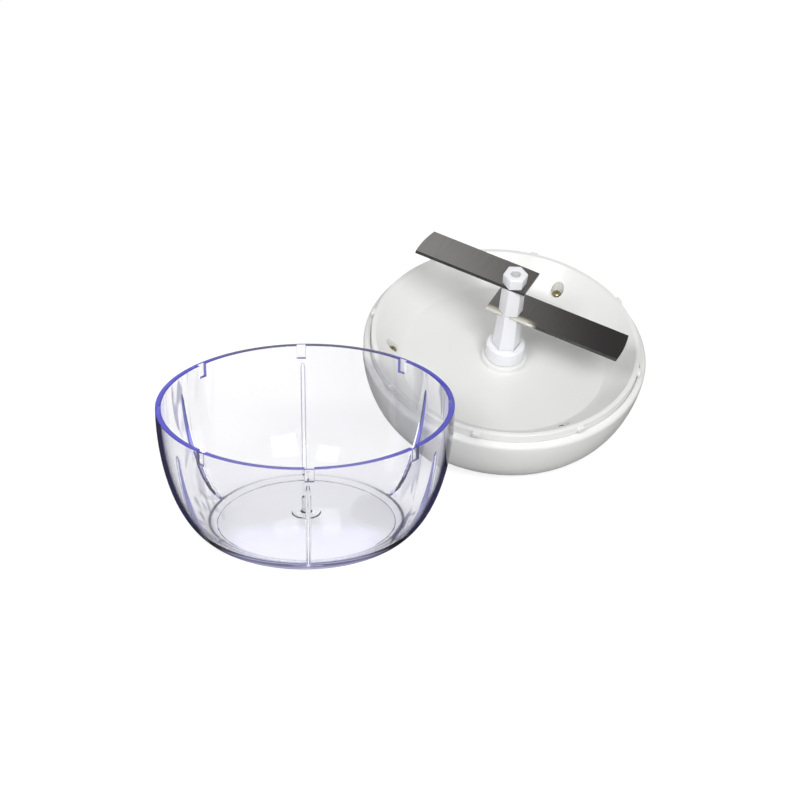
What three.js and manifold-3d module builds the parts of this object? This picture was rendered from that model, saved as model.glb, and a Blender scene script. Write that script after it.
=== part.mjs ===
// A hand cranked food chopper, taken apart as it is for washing up: the clear bowl
// stands upright, and the lid lies beside it upside down, with its blades in the air,
// leaning on the front of its dome and on the knob of its crank.
//
// Millimetres, +Z up. The origin is the middle of the bowl's flat underside.
//
// The lid and all that it carries are built in the lid's own frame. Its origin is the
// middle of the skirt's edge, +Z runs along the blade tower and away from the dome,
// so the blades have heights above zero, and the gears and the crank below it.

import * as THREE from "three";
import { mergeVertices } from "three/addons/utils/BufferGeometryUtils.js";
import Module from "manifold-3d";

const wasm = await Module();
wasm.setup();

// Fits and fineness

const fit = 0.3; // between two pieces that touch on the real thing
const overrun = 1; // by which a cutting tool stands out of what it cuts
const clampGap = 0.35; // between a screw's head and what it clamps
const roundSides = 40; // of the bowl, the dome and the liner
const wheelSides = 24; // of hubs, collars and the knob
const rodSides = 12; // of pins, screws and their holes
const wallSteps = 7; // along the curve of a wall
const hexSides = 6;
const mergeReach = 1e-4; // vertices nearer than this are one
const leanSteps = 40; // of the halving that finds how the lid leans
const slideSteps = 12; // of the approach that finds where the lid stands

// The bowl

const rimRadius = 82.5;
const bowlHeight = 74.7;
const footRadius = 49.6;
const rimWall = 3.2;
const floorRadius = 53.5;
const floorThickness = 5.5;
const floorRise = 4; // of the floor's middle over its edge
const floorSteps = 3; // from the floor's edge to its middle
const notchCount = 8;
const notchAngle = 3;
const notchWidth = 5.2;
const notchCut = 2;
const notchHeight = 8;
const ribCount = 6;
const ribAngle = 32.4;
const ribWidth = 2.6;
const ribReach = 3;
const ribTopReach = 1.6;
const ribDrop = 10.8; // from the rim to the rib's top
const ribRoot = 0.8; // by which a rib is sunk into the wall
const pinRadius = 2.5;
const pinHeight = 10.5; // over the raised middle of the floor
const pinRingRadius = 7.6;
const pinRingHeight = 1;
const pinTipRadius = 1.6;
const pinTipHeight = 1.2;

// The lid's outside

const domeDepth = 40;
const domeWall = 2.5;
const domeDepthPowerShare = 1.36;
const domeRadiusPowerShare = 8.72;
const domeTubeRadius = 13; // of the tube that holds the crank's bush

// The lid's inside

const skirtRadius = 78.5;
const shoulderLand = 3.9; // by which the dome stands out beside the skirt
const shoulderRadius = skirtRadius + shoulderLand;
const shoulderRise = 2.9; // of the dome's rounded edge beside the skirt
const shoulderSteps = 3;
const skirtHeight = 7.9;
const skirtTuck = 1.5; // by which the skirt reaches down into the dome
const skirtWall = 2.2;
const skirtLand = 2.6; // the flat edge of the skirt
const linerDepth = 15; // from the skirt's edge to the liner's floor
const linerWall = 2.2;
const coveReach = 19.5; // from the skirt's outside to the edge of the liner's floor
const linerFloorRadius = skirtRadius - coveReach;
const coveShift = 0.9; // of the cove's back from its front, so that its wall keeps its thickness
const covePowerShare = 1.15;
const seatRadius = 13.2; // of the raised middle that the socket stands on
const seatRise = 3.5;
const seatEdge = 0.8;
const tabCount = 8;
const tabAngle = 31.5;
const tabWidth = 4.4;
const tabReach = 1.9;
const tabHeight = 3.6;

// The three screws that hold the liner on the dome

const linerScrewCount = 3;
const linerScrewAngle = 60;
const linerScrewInset = 13.1; // from the skirt's outside
const linerScrewCircle = skirtRadius - linerScrewInset;
const linerScrewRise = 1; // of the pocket's floor above the liner's floor
const pocketRadius = 3.8;
const pocketWall = 2;
const screwShankRadius = 1.5;
const screwHeadRadius = 2.7;
const screwHeadHeight = 1.8;
const screwCrossWidth = 0.8;
const screwCrossDepth = 0.9;
const linerScrewLength = 13;
const screwPostRadius = 4.2;

// The gears

const sunTeeth = 12;
const idlerTeeth = 18;
const ringTeeth = sunTeeth + 2 * idlerTeeth;
const ringPitchShare = 0.55; // of the skirt's radius
const gearModule = (2 * ringPitchShare * skirtRadius) / ringTeeth;
const idlerCount = 3;
const pressureAngle = 20;
const addendumShare = 0.85; // of the module
const dedendumShare = 1.25; // of the module
const backlash = 0.2;
const flankShares = [0, 0.5, 1];
const gearFace = 8;
const gearRun = 0.5; // between a gear's face and what is beside it
const ringWall = 3.3;
const ringWeb = 2.5;
const ringGap = 3.6; // from the keeper to the web, with the screw heads between
const ringHubRadius = 7;
const ringDriveRadius = 6;
const ringDriveLength = 4.4;

// What carries the gears

const idlerPinRadius = 2.5;
const idlerBossRadius = 4.8;
const bossHeight = 3.3;
const pinFloor = 0.6; // by which a pin stays clear of the liner's floor
const keeperRadius = 37;
const keeperThickness = 2.5;
const keeperScrewCircle = 30;
const keeperScrewLength = 9;
const keeperPostRadius = 4;

// The socket that drives the blade tower

const collarRadius = 11.2;
const collarHeight = 9.5;
const collarEdge = 0.8;
const collarFloor = 1.6;
const shaftRadius = 5;
const sunDriveRadius = 4.7;
const bushWall = 1.7;
const spindleScrewHeadRadius = 3.6;
const spindleScrewLength = 6.5;

// The blade tower

const towerFootRadius = 8;
const towerMiddleRadius = 7.05;
const towerTopRadius = 6.8;
const towerAngle = 1;
const plugEnd = 0.4; // from the tower's plug to the bottom of its socket
const lowerBladeHeight = 22.8;
const upperBladeHeight = 44;
const stemRadius = 4.5;
const stemBoreRadius = 2.9;
const stemBoreDepth = 12;
const nutRadius = 7.2;
const nutHeight = 7.4;
const nutChamfer = 0.4;
const nutRoof = 1.6;
const nutAngle = 3;

// The blades

const bladeThickness = 1.2;
const bladeAngle = -26.6;
const bladeBevel = 1.5;
const bladeBevelShare = 0.75; // of the blade's thickness
const lowerBladeReach = 69.4;
const lowerBladeTail = 13.3;
const lowerBladeNear = 5.4;
const lowerBladeFar = 17.1;
const upperBladeReach = 60.9;
const upperBladeTail = 8.8;
const upperBladeNear = 5.7;
const upperBladeFar = 15.6;
const bladeTipSteps = 5;

// The crank

const crankReach = 55;
const crankHubRadius = 15;
const crankArmThickness = 6.5;
const crankEndRadius = 11;
const crankWebThickness = 1.8; // between the hub's two pockets
const crankWell = 4.9; // depth of the hub's outer pocket
const crankBushWall = 2.2;
const crankBushFlangeReach = 2.4;
const crankBushFlangeThickness = 1;
const crankCapRadius = 9.5;
const crankCapThickness = 1.5;
const crankWasherRadius = 5.6;
const crankWasherThickness = 0.8;
const crankScrewHeadRadius = 4.2;
const crankScrewShankRadius = 2;
const crankScrewLength = 11;
const armSteps = 8; // along each round end of the arm

// The knob

const knobRadius = 13;
const knobNeckRadius = 10;
const knobBarrel = 12.2; // from the knob's foot to the middle of its round end
const knobPinRadius = 3;
const knobPinHeadRadius = 5.2;
const knobPinHeadHeight = 1.4;
const knobWellDepth = 4.6; // for the pin's head, under the cap
const knobWellRadius = 6;
const knobWasherRadius = 8;
const knobWasherThickness = 0.8;
const knobCapRadius = 9;
const knobCapSeat = 2.5; // of the cap's straight side
const knobRoundSteps = 4;

// How the two halves stand

const lidFacing = -76; // the way the lid leans, as a compass angle from +X
const lidSpin = 76.8; // of the lid about its own axis
const lidBearing = 44.587; // from the bowl to the lid
const lidClearance = 0.33; // of the tabs' circle from the bowl

// Colours and finishes

const finishes = {
  clearPlastic: { color: 0xdcdcf4, roughness: 0.06, metalness: 0 },
  whitePlastic: { color: 0xebebe8, roughness: 0.32, metalness: 0 },
  towerPlastic: { color: 0xe9e9f3, roughness: 0.3, metalness: 0 },
  gearPlastic: { color: 0xd8d8d2, roughness: 0.45, metalness: 0 },
  bushPlastic: { color: 0xc9c4b4, roughness: 0.4, metalness: 0 },
  steel: { color: 0x9b9b99, roughness: 0.28, metalness: 1 },
  bladeSteel: { color: 0x6f6c68, roughness: 0.33, metalness: 1 },
  brass: { color: 0xb09a62, roughness: 0.35, metalness: 1 },
};

// Tools for making solids

const degree = Math.PI / 180;
const quarterTurn = Math.PI / 2;
const fullTurn = 360; // in degrees
const at = (radius, height) => new THREE.Vector2(radius, height);

// The point at a radius and an angle in degrees.
function polar(radius, angle) {
  return at(radius * Math.cos(angle * degree), radius * Math.sin(angle * degree));
}

// Angles in degrees of copies spread evenly round the axis.
function around(count, first = 0) {
  return Array.from({ length: count }, (_, i) => first + (fullTurn * i) / count);
}

// A body turned about Z. The outline runs anticlockwise: outside up, inside down.
function turned(outline, sides = wheelSides, firstAngle = 0) {
  const closed = outline[0].x === 0 ? outline : [...outline, outline[0]];
  const start = firstAngle * degree + quarterTurn;
  return new THREE.LatheGeometry(closed, sides, start).rotateX(quarterTurn);
}

// A round bar, or a tapered one, between two heights.
function bar(radius, low, high, sides = rodSides, topRadius = radius, firstAngle = 0) {
  return turned([at(0, low), at(radius, low), at(topRadius, high), at(0, high)], sides, firstAngle);
}

// A round bar with a hole along it.
function tube(radius, holeRadius, low, high, sides = wheelSides) {
  const outline = [at(holeRadius, low), at(radius, low), at(radius, high), at(holeRadius, high)];
  return turned(outline, sides);
}

// A plate between two heights, from an outline seen from above.
function plate(outline, low, high) {
  const shape = new THREE.Shape(outline);
  const settings = { depth: high - low, bevelEnabled: false };
  return new THREE.ExtrudeGeometry(shape, settings).translate(0, 0, low);
}

// A block along X, Y and Z, from its low corner to its high corner.
function block(low, high) {
  const size = high.clone().sub(low);
  const middle = low.clone().add(high).divideScalar(2);
  return new THREE.BoxGeometry(size.x, size.y, size.z).translate(middle.x, middle.y, middle.z);
}

// The same body moved out along X and turned to an angle round the axis.
function placed(geometry, radius, angle) {
  return geometry.translate(radius, 0, 0).rotateZ(angle * degree);
}

// A closed mesh as a solid that can be joined and cut.
function solidOf(geometry) {
  const bare = geometry.clone();
  bare.deleteAttribute("normal");
  bare.deleteAttribute("uv");
  const merged = mergeVertices(bare, mergeReach);
  const corners = merged.index.array;
  const kept = [];
  for (let i = 0; i < corners.length; i += 3) {
    const [a, b, c] = corners.slice(i, i + 3);
    const folded = a === b || b === c || c === a;
    if (!folded) kept.push(a, b, c);
  }
  const mesh = new wasm.Mesh({
    numProp: 3,
    vertProperties: merged.attributes.position.array,
    triVerts: new Uint32Array(kept),
  });
  return new wasm.Manifold(mesh);
}

// A solid as a mesh's geometry, with flat faces.
function geometryOf(solid) {
  const mesh = solid.getMesh();
  const indexed = new THREE.BufferGeometry();
  indexed.setAttribute("position", new THREE.BufferAttribute(mesh.vertProperties, 3));
  indexed.setIndex(new THREE.BufferAttribute(mesh.triVerts, 1));
  const flat = indexed.toNonIndexed();
  flat.computeVertexNormals();
  return flat;
}

// A body with other bodies joined to it, and then others cut from it.
function built(base, joined = [], cuts = []) {
  let solid = solidOf(base);
  for (const geometry of joined) solid = solid.add(solidOf(geometry));
  for (const geometry of cuts) solid = solid.subtract(solidOf(geometry));
  return geometryOf(solid);
}

// A named piece with its finish.
function piece(name, geometry, finish) {
  const mesh = new THREE.Mesh(geometry, new THREE.MeshStandardMaterial(finish));
  mesh.name = name;
  return mesh;
}

// Heights that several pieces share, in the lid's frame

const shoulder = -skirtHeight;
const domeTop = shoulder - domeDepth;
const domeInnerRadius = skirtRadius + fit;
const linerFloor = -linerDepth;
const linerBack = linerFloor - linerWall;
const seatTop = linerFloor + seatRise;
const bossEnd = linerBack - bossHeight;
const gearTop = bossEnd - gearRun;
const gearBottom = gearTop - gearFace;
const keeperTop = gearBottom - gearRun;
const keeperBottom = keeperTop - keeperThickness;
const webTop = keeperBottom - ringGap;
const webBottom = webTop - ringWeb;
const crankFoot = domeTop - crankBushFlangeThickness - 2 * fit;
const driveEnd = crankFoot - ringDriveLength;
const crankWebTop = driveEnd - fit;
const crankWebBottom = crankWebTop - crankWebThickness;
const crankFace = crankWebBottom - crankWell;
const knobFoot = crankFace - knobWasherThickness - 2 * fit;
const knobEndMiddle = knobFoot - knobBarrel;
const crankAngle = 180 - lidSpin; // so that the arm points up the slope of the lid

const pitchRadius = (teeth) => (teeth * gearModule) / 2;
const idlerCircle = pitchRadius(sunTeeth) + pitchRadius(idlerTeeth);

// The outlines of the bowl and of the dome

// The radius of the bowl's outside at a height.
function bowlRadiusAt(height) {
  const rise = 1 - height / bowlHeight;
  return footRadius + (rimRadius - footRadius) * Math.sqrt(1 - rise * rise);
}

// A quarter of an ellipse, from flat on the floor to upright at the rim.
function bowlCurve(innerRadius, outerRadius, floorHeight) {
  return Array.from({ length: wallSteps + 1 }, (_, i) => {
    const angle = (quarterTurn * i) / wallSteps;
    const radius = innerRadius + (outerRadius - innerRadius) * Math.sin(angle);
    return at(radius, bowlHeight - (bowlHeight - floorHeight) * Math.cos(angle));
  });
}

// The dome's curve, from its top to its shoulder.
function domeCurve(radius, depth) {
  return Array.from({ length: wallSteps + 1 }, (_, i) => {
    const angle = (quarterTurn * i) / wallSteps;
    const out = radius * Math.sin(angle) ** (2 / domeRadiusPowerShare);
    const down = depth * Math.cos(angle) ** (2 / domeDepthPowerShare);
    return at(i === 0 ? 0 : out, shoulder - down);
  });
}

// The rounded edge from the widest place of the dome up to the skirt.
function shoulderCurve() {
  const land = shoulderRadius - domeInnerRadius;
  return Array.from({ length: shoulderSteps }, (_, i) => {
    const angle = (quarterTurn * (i + 1)) / shoulderSteps;
    const rise = shoulderRise * Math.sin(angle);
    return at(domeInnerRadius + land * Math.cos(angle), shoulder + rise);
  });
}

const domeOutside = domeCurve(shoulderRadius, domeDepth);
const domeInside = domeCurve(domeInnerRadius, domeDepth - domeWall);

// Where the lid stands

// The height of the skirt's middle that puts the dome on the floor at a lean.
function heightAt(lean) {
  const drops = domeOutside.map(({ x, y }) => x * Math.sin(lean) - y * Math.cos(lean));
  return Math.max(...drops);
}

// The lean at which both the dome and the knob's round end touch the floor.
function restLean() {
  let low = 0;
  let high = quarterTurn / 2;
  for (let i = 0; i < leanSteps; i += 1) {
    const lean = (low + high) / 2;
    const end = heightAt(lean) + knobEndMiddle * Math.cos(lean) + crankReach * Math.sin(lean);
    if (end < knobRadius) low = lean;
    else high = lean;
  }
  return (low + high) / 2;
}

// The lid's frame on the floor, at a distance from the bowl.
function lidMatrix(lean, distance) {
  const spot = polar(distance, lidBearing);
  return new THREE.Matrix4()
    .makeTranslation(spot.x, spot.y, heightAt(lean))
    .multiply(new THREE.Matrix4().makeRotationZ(lidFacing * degree))
    .multiply(new THREE.Matrix4().makeRotationY(lean))
    .multiply(new THREE.Matrix4().makeRotationZ(lidSpin * degree));
}

// The room between the bowl's wall and the lid, sideways, where it is least.
function roomAt(lean, distance) {
  const matrix = lidMatrix(lean, distance);
  const edge = [...domeOutside, at(skirtRadius + tabReach, 0)];
  let room = Infinity;
  for (const angle of around(roundSides)) {
    for (const { x, y } of edge) {
      const flat = polar(x, angle);
      const spot = new THREE.Vector3(flat.x, flat.y, y).applyMatrix4(matrix);
      if (spot.z > bowlHeight) continue;
      const wall = bowlRadiusAt(Math.max(spot.z, 0));
      room = Math.min(room, Math.hypot(spot.x, spot.y) - wall);
    }
  }
  return room;
}

// The distance from the bowl at which the lid just clears it.
function restDistance(lean) {
  let distance = rimRadius + shoulderRadius;
  for (let i = 0; i < slideSteps; i += 1) {
    distance += lidClearance - roomAt(lean, distance);
  }
  return distance;
}

// The bowl

// The floor's gentle dome, from beside its edge to the ring around the pin.
function floorCurve() {
  return Array.from({ length: floorSteps }, (_, i) => {
    const share = (i + 1) / floorSteps;
    const radius = floorRadius + (pinRingRadius - floorRadius) * share;
    return at(radius, floorThickness + floorRise * Math.sin(quarterTurn * share));
  });
}

// One rib down the inside of the wall, in the plane of X and Z.
function ribBlade(wall) {
  const top = bowlHeight - ribDrop;
  const low = wall.filter(({ y }) => y < top - ribReach);
  const last = low[low.length - 1];
  const next = wall[low.length];
  const share = (top - last.y) / (next.y - last.y);
  const tip = at(last.x + (next.x - last.x) * share, top);
  const back = [...low.map(({ x, y }) => at(x + ribRoot, y)), at(tip.x + ribRoot, top)];
  const front = low.map(({ x, y }) => {
    const reach = ribTopReach + (ribReach - ribTopReach) * (1 - y / top);
    return at(x - reach, y + ribRoot);
  });
  const outline = [...back, at(tip.x - ribTopReach, top - ribReach / 2), ...front.reverse()];
  const foot = at(floorRadius - ribReach, floorThickness - ribRoot);
  const shape = new THREE.Shape([...outline, foot]);
  const settings = { depth: ribWidth, bevelEnabled: false };
  return new THREE.ExtrudeGeometry(shape, settings)
    .translate(0, 0, -ribWidth / 2)
    .rotateX(quarterTurn);
}

function makeBowl() {
  const outside = bowlCurve(footRadius, rimRadius, 0);
  const inside = bowlCurve(floorRadius, rimRadius - rimWall, floorThickness);
  const pinFoot = floorThickness + floorRise;
  const middle = [
    ...floorCurve(),
    at(pinRadius, pinFoot + pinRingHeight),
    at(pinRadius, pinFoot + pinHeight - pinTipHeight),
    at(pinTipRadius, pinFoot + pinHeight),
    at(0, pinFoot + pinHeight),
  ];
  const wall = turned([at(0, 0), ...outside, ...[...inside].reverse(), ...middle], roundSides);
  const ribs = around(ribCount, ribAngle).map((angle) => placed(ribBlade(inside), 0, angle));
  const notch = block(
    new THREE.Vector3(rimRadius - rimWall - overrun, -notchWidth / 2, bowlHeight - notchHeight),
    new THREE.Vector3(rimRadius - rimWall + notchCut, notchWidth / 2, bowlHeight + overrun),
  );
  const notches = around(notchCount, notchAngle).map((angle) => placed(notch.clone(), 0, angle));
  return piece("bowl", built(wall, ribs, notches), finishes.clearPlastic);
}

// The dome and the liner

// The places of the three screws, clear of the idlers and the ring gear.
const linerScrewAngles = around(linerScrewCount, linerScrewAngle);
const pocketFloor = linerFloor + linerScrewRise;
const pocketBack = linerBack;

function makeDome() {
  const shell = [...domeOutside, ...shoulderCurve(), ...[...domeInside].reverse()];
  const body = solidOf(turned([...domeOutside, at(0, shoulder)], roundSides, -lidSpin));
  const posts = linerScrewAngles.map((angle) =>
    placed(bar(screwPostRadius, domeTop, pocketBack - fit), linerScrewCircle, angle),
  );
  const bearing = bar(domeTubeRadius, domeTop, webBottom - gearRun, wheelSides);
  let solid = solidOf(turned(shell, roundSides, -lidSpin));
  for (const post of [...posts, bearing]) solid = solid.add(solidOf(post).intersect(body));
  const shaftHole = ringHubRadius + crankBushWall + 2 * fit;
  const cuts = linerScrewAngles.map((angle) => {
    const end = pocketFloor - linerScrewLength - fit;
    return placed(bar(screwShankRadius + fit, end, shoulder), linerScrewCircle, angle);
  });
  cuts.push(bar(shaftHole, domeTop - overrun, shoulder, wheelSides));
  for (const cut of cuts) solid = solid.subtract(solidOf(cut));
  return piece("lid_dome", geometryOf(solid), finishes.whitePlastic);
}

// The liner's cove, from its floor to the flat edge of its skirt.
function coveCurve(shift, drop) {
  const reach = skirtRadius - skirtLand - linerFloorRadius;
  return Array.from({ length: wallSteps + 1 }, (_, i) => {
    const share = i / wallSteps;
    const rise = linerDepth * share ** covePowerShare;
    return at(linerFloorRadius + reach * share + shift, linerFloor + rise - drop);
  });
}

const bushHole = shaftRadius + bushWall + 2 * fit;
const keeperScrewAngles = around(idlerCount, 180 / idlerCount);

// The walls of the screws' pockets, as far as they lie behind the cove's front.
function pocketWalls(front, hollow) {
  const outline = [
    at(0, pocketBack),
    at(hollow, pocketBack),
    at(hollow, 0),
    ...[...front].reverse(),
    at(0, linerFloor),
  ];
  const behind = solidOf(turned(outline, roundSides, -lidSpin));
  return linerScrewAngles.map((angle) => {
    const post = placed(bar(pocketRadius + pocketWall, pocketBack, 0), linerScrewCircle, angle);
    return geometryOf(solidOf(post).intersect(behind));
  });
}

function makeLiner() {
  const front = coveCurve(0, 0);
  const hollow = skirtRadius - skirtWall;
  const back = coveCurve(coveShift, linerWall).filter(({ x }) => x < hollow - fit);
  const outline = [
    at(bushHole, linerBack),
    ...back,
    at(hollow, back[back.length - 1].y + coveShift),
    at(hollow, shoulder - skirtTuck),
    at(skirtRadius, shoulder - skirtTuck),
    at(skirtRadius, 0),
    ...[...front].reverse(),
    at(seatRadius, linerFloor),
    at(seatRadius, seatTop - seatEdge),
    at(seatRadius - seatEdge, seatTop),
    at(bushHole, seatTop),
  ];
  const joined = [
    ...around(tabCount, tabAngle).map((angle) => {
      const low = new THREE.Vector3(skirtRadius - skirtWall / 2, -tabWidth / 2, -tabHeight);
      const high = new THREE.Vector3(skirtRadius + tabReach, tabWidth / 2, -fit);
      return placed(block(low, high), 0, angle);
    }),
    ...around(idlerCount).map((angle) => {
      const boss = bar(idlerBossRadius, bossEnd, linerBack + linerWall / 2);
      return placed(boss, idlerCircle, angle);
    }),
    ...keeperScrewAngles.map((angle) => {
      const post = bar(keeperPostRadius, keeperTop + fit, linerBack + linerWall / 2);
      return placed(post, keeperScrewCircle, angle);
    }),
    tube(bushHole + skirtWall, bushHole, bossEnd, linerBack + linerWall / 2),
  ];
  const cuts = [
    ...linerScrewAngles.map((angle) => {
      return placed(bar(pocketRadius, pocketFloor, overrun), linerScrewCircle, angle);
    }),
    ...linerScrewAngles.map((angle) => {
      const hole = bar(screwShankRadius + fit, pocketBack - overrun, pocketFloor + overrun);
      return placed(hole, linerScrewCircle, angle);
    }),
    ...around(idlerCount).map((angle) => {
      const hole = bar(idlerPinRadius + fit, bossEnd - overrun, linerFloor - pinFloor - fit);
      return placed(hole, idlerCircle, angle);
    }),
    ...keeperScrewAngles.map((angle) => {
      const depth = keeperBottom + keeperScrewLength + fit;
      const hole = bar(screwShankRadius + fit, keeperTop - overrun, depth);
      return placed(hole, keeperScrewCircle, angle);
    }),
  ];
  const walls = pocketWalls(front, hollow);
  const dish = turned(outline, roundSides, -lidSpin);
  return piece("lid_liner", built(dish, [...walls, ...joined], cuts), finishes.whitePlastic);
}

// A screw with a cross in its head, which faces up, its head's underside at zero.
function crossScrew(headRadius, headHeight, shankRadius, length) {
  const outline = [
    at(0, -length),
    at(shankRadius, shankRadius - length),
    at(shankRadius, 0),
    at(headRadius, 0),
    at(headRadius, headHeight / 2),
    at(shankRadius, headHeight),
    at(0, headHeight),
  ];
  const arm = new THREE.Vector3(headRadius / 2, screwCrossWidth / 2, overrun);
  const floor = new THREE.Vector3(-arm.x, -arm.y, -screwCrossDepth);
  const slots = [0, 90].map((angle) =>
    placed(block(floor, arm), 0, angle).translate(0, 0, headHeight),
  );
  return built(turned(outline, rodSides), [], slots);
}

function makeLinerScrews() {
  return linerScrewAngles.map((angle, i) => {
    const screw = crossScrew(screwHeadRadius, screwHeadHeight, screwShankRadius, linerScrewLength);
    screw.translate(0, 0, pocketFloor + clampGap);
    const name = `liner_screw_${i + 1}`;
    return piece(name, placed(screw, linerScrewCircle, angle), finishes.brass);
  });
}

// The gears

// The outline of a toothed wheel. Each tooth's flanks are involutes.
function toothedOutline(teeth, inward, outward, widening, firstAngle) {
  const pitch = pitchRadius(teeth);
  const base = pitch * Math.cos(pressureAngle * degree);
  const involute = (radius) => {
    const roll = Math.acos(Math.min(1, base / radius));
    return Math.tan(roll) - roll;
  };
  const halfAngle = (radius) => {
    const atPitch = Math.PI / (2 * teeth) + widening / pitch + involute(pitch);
    return (atPitch - involute(Math.max(radius, base))) / degree;
  };
  const radii = flankShares.map((share) => pitch - inward + (inward + outward) * share);
  return around(teeth, firstAngle).flatMap((angle) => {
    const rising = radii.map((radius) => polar(radius, angle - halfAngle(radius)));
    const falling = radii.map((radius) => polar(radius, angle + halfAngle(radius)));
    return [...rising, ...falling.reverse()];
  });
}

const addendum = addendumShare * gearModule;
const dedendum = dedendumShare * gearModule;

// A wheel with teeth on its outside.
function spurWheel(teeth, firstAngle) {
  const outline = toothedOutline(teeth, dedendum, addendum, -backlash, firstAngle);
  return plate(outline, gearBottom, gearTop);
}

function makeSunGear() {
  const bore = bar(sunDriveRadius + fit, gearBottom - overrun, gearTop + overrun, hexSides);
  return piece("sun_gear", built(spurWheel(sunTeeth, 0), [], [bore]), finishes.gearPlastic);
}

// The idlers are turned so that their teeth meet the gaps of the sun gear.
function makeIdlerGears() {
  return around(idlerCount).map((angle, i) => {
    const phase = angle * (1 + sunTeeth / idlerTeeth) + 180 + 180 / idlerTeeth;
    const bore = bar(idlerPinRadius + fit, gearBottom - overrun, gearTop + overrun);
    const wheel = built(spurWheel(idlerTeeth, phase - angle), [], [bore]);
    const name = `idler_gear_${i + 1}`;
    return piece(name, placed(wheel, idlerCircle, angle), finishes.gearPlastic);
  });
}

// The ring gear hangs over the idlers like a bell, and its hub leaves the lid through
// the dome, where the crank sits on its six sided end.
function makeRingGear() {
  const root = pitchRadius(ringTeeth) + dedendum;
  const rim = new THREE.Shape(around(roundSides).map((angle) => polar(root + ringWall, angle)));
  const phase = (180 * (idlerTeeth + 1)) / ringTeeth;
  const gaps = toothedOutline(ringTeeth, addendum, dedendum, backlash, phase);
  rim.holes.push(new THREE.Path(gaps));
  const settings = { depth: gearFace, bevelEnabled: false };
  const teeth = new THREE.ExtrudeGeometry(rim, settings).translate(0, 0, gearBottom);
  const bell = turned(
    [
      at(0, crankFoot + fit),
      at(ringHubRadius, crankFoot + fit),
      at(ringHubRadius, webBottom),
      at(root + ringWall - fit, webBottom),
      at(root + ringWall - fit, gearBottom + fit),
      at(root + fit, gearBottom + fit),
      at(root + fit, webTop),
      at(0, webTop),
    ],
    roundSides,
  );
  const drive = bar(ringDriveRadius, driveEnd, domeTop, hexSides, ringDriveRadius, crankAngle);
  const screwHole = bar(crankScrewShankRadius + fit, driveEnd - overrun, crankWebBottom + crankScrewLength);
  return piece("ring_gear", built(teeth, [bell, drive], [screwHole]), finishes.gearPlastic);
}

function makeIdlerPins() {
  return around(idlerCount).map((angle, i) => {
    const pin = bar(idlerPinRadius, keeperBottom, linerFloor - pinFloor - 2 * fit);
    return piece(`idler_pin_${i + 1}`, placed(pin, idlerCircle, angle), finishes.steel);
  });
}

// The plate that keeps the gears on their pins.
function makeKeeper() {
  const low = keeperBottom - overrun;
  const high = keeperTop + overrun;
  const holes = [
    bar(spindleScrewHeadRadius + 2 * fit, low, high),
    ...around(idlerCount).map((angle) => {
      return placed(bar(idlerPinRadius + fit, low, high), idlerCircle, angle);
    }),
    ...keeperScrewAngles.map((angle) => {
      return placed(bar(screwShankRadius + fit, low, high), keeperScrewCircle, angle);
    }),
  ];
  const disc = bar(keeperRadius, keeperBottom, keeperTop, wheelSides);
  return piece("gear_keeper", built(disc, [], holes), finishes.steel);
}

function makeKeeperScrews() {
  return keeperScrewAngles.map((angle, i) => {
    const screw = crossScrew(screwHeadRadius, screwHeadHeight, screwShankRadius, keeperScrewLength);
    screw.rotateX(Math.PI).translate(0, 0, keeperBottom - clampGap);
    const name = `keeper_screw_${i + 1}`;
    return piece(name, placed(screw, keeperScrewCircle, angle), finishes.steel);
  });
}

// The socket

const collarFoot = seatTop + fit;
const collarTop = collarFoot + collarHeight;
const socketFloor = collarFoot + collarFloor;

function makeSocket() {
  const collar = turned([
    at(0, bossEnd),
    at(shaftRadius, bossEnd),
    at(shaftRadius, collarFoot),
    at(collarRadius - collarEdge, collarFoot),
    at(collarRadius, collarFoot + collarEdge),
    at(collarRadius, collarTop - collarEdge),
    at(collarRadius - collarEdge, collarTop),
    at(0, collarTop),
  ]);
  const drive = bar(sunDriveRadius, gearBottom + fit, bossEnd + shaftRadius, hexSides);
  const mouth = towerFootRadius + fit;
  const hexHole = bar(mouth, socketFloor, collarTop + overrun, hexSides, mouth, towerAngle);
  const screwEnd = gearBottom - clampGap + spindleScrewLength + fit;
  const screwHole = bar(screwShankRadius + fit, gearBottom - overrun, screwEnd);
  return piece("drive_socket", built(collar, [drive], [hexHole, screwHole]), finishes.towerPlastic);
}

function makeSpindleBush() {
  const inner = shaftRadius + fit;
  const sleeve = tube(inner + bushWall, inner, bossEnd, seatTop);
  return piece("spindle_bush", sleeve, finishes.bushPlastic);
}

function makeSpindleScrew() {
  const headRadius = spindleScrewHeadRadius;
  const screw = crossScrew(headRadius, screwHeadHeight, screwShankRadius, spindleScrewLength);
  screw.rotateX(Math.PI).translate(0, 0, gearBottom - clampGap);
  return piece("spindle_screw", screw, finishes.steel);
}

// The blades. Both lie on the same side of a line through the tower, which leaves the
// tower near one edge, and their tips are arcs round the tower.

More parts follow.
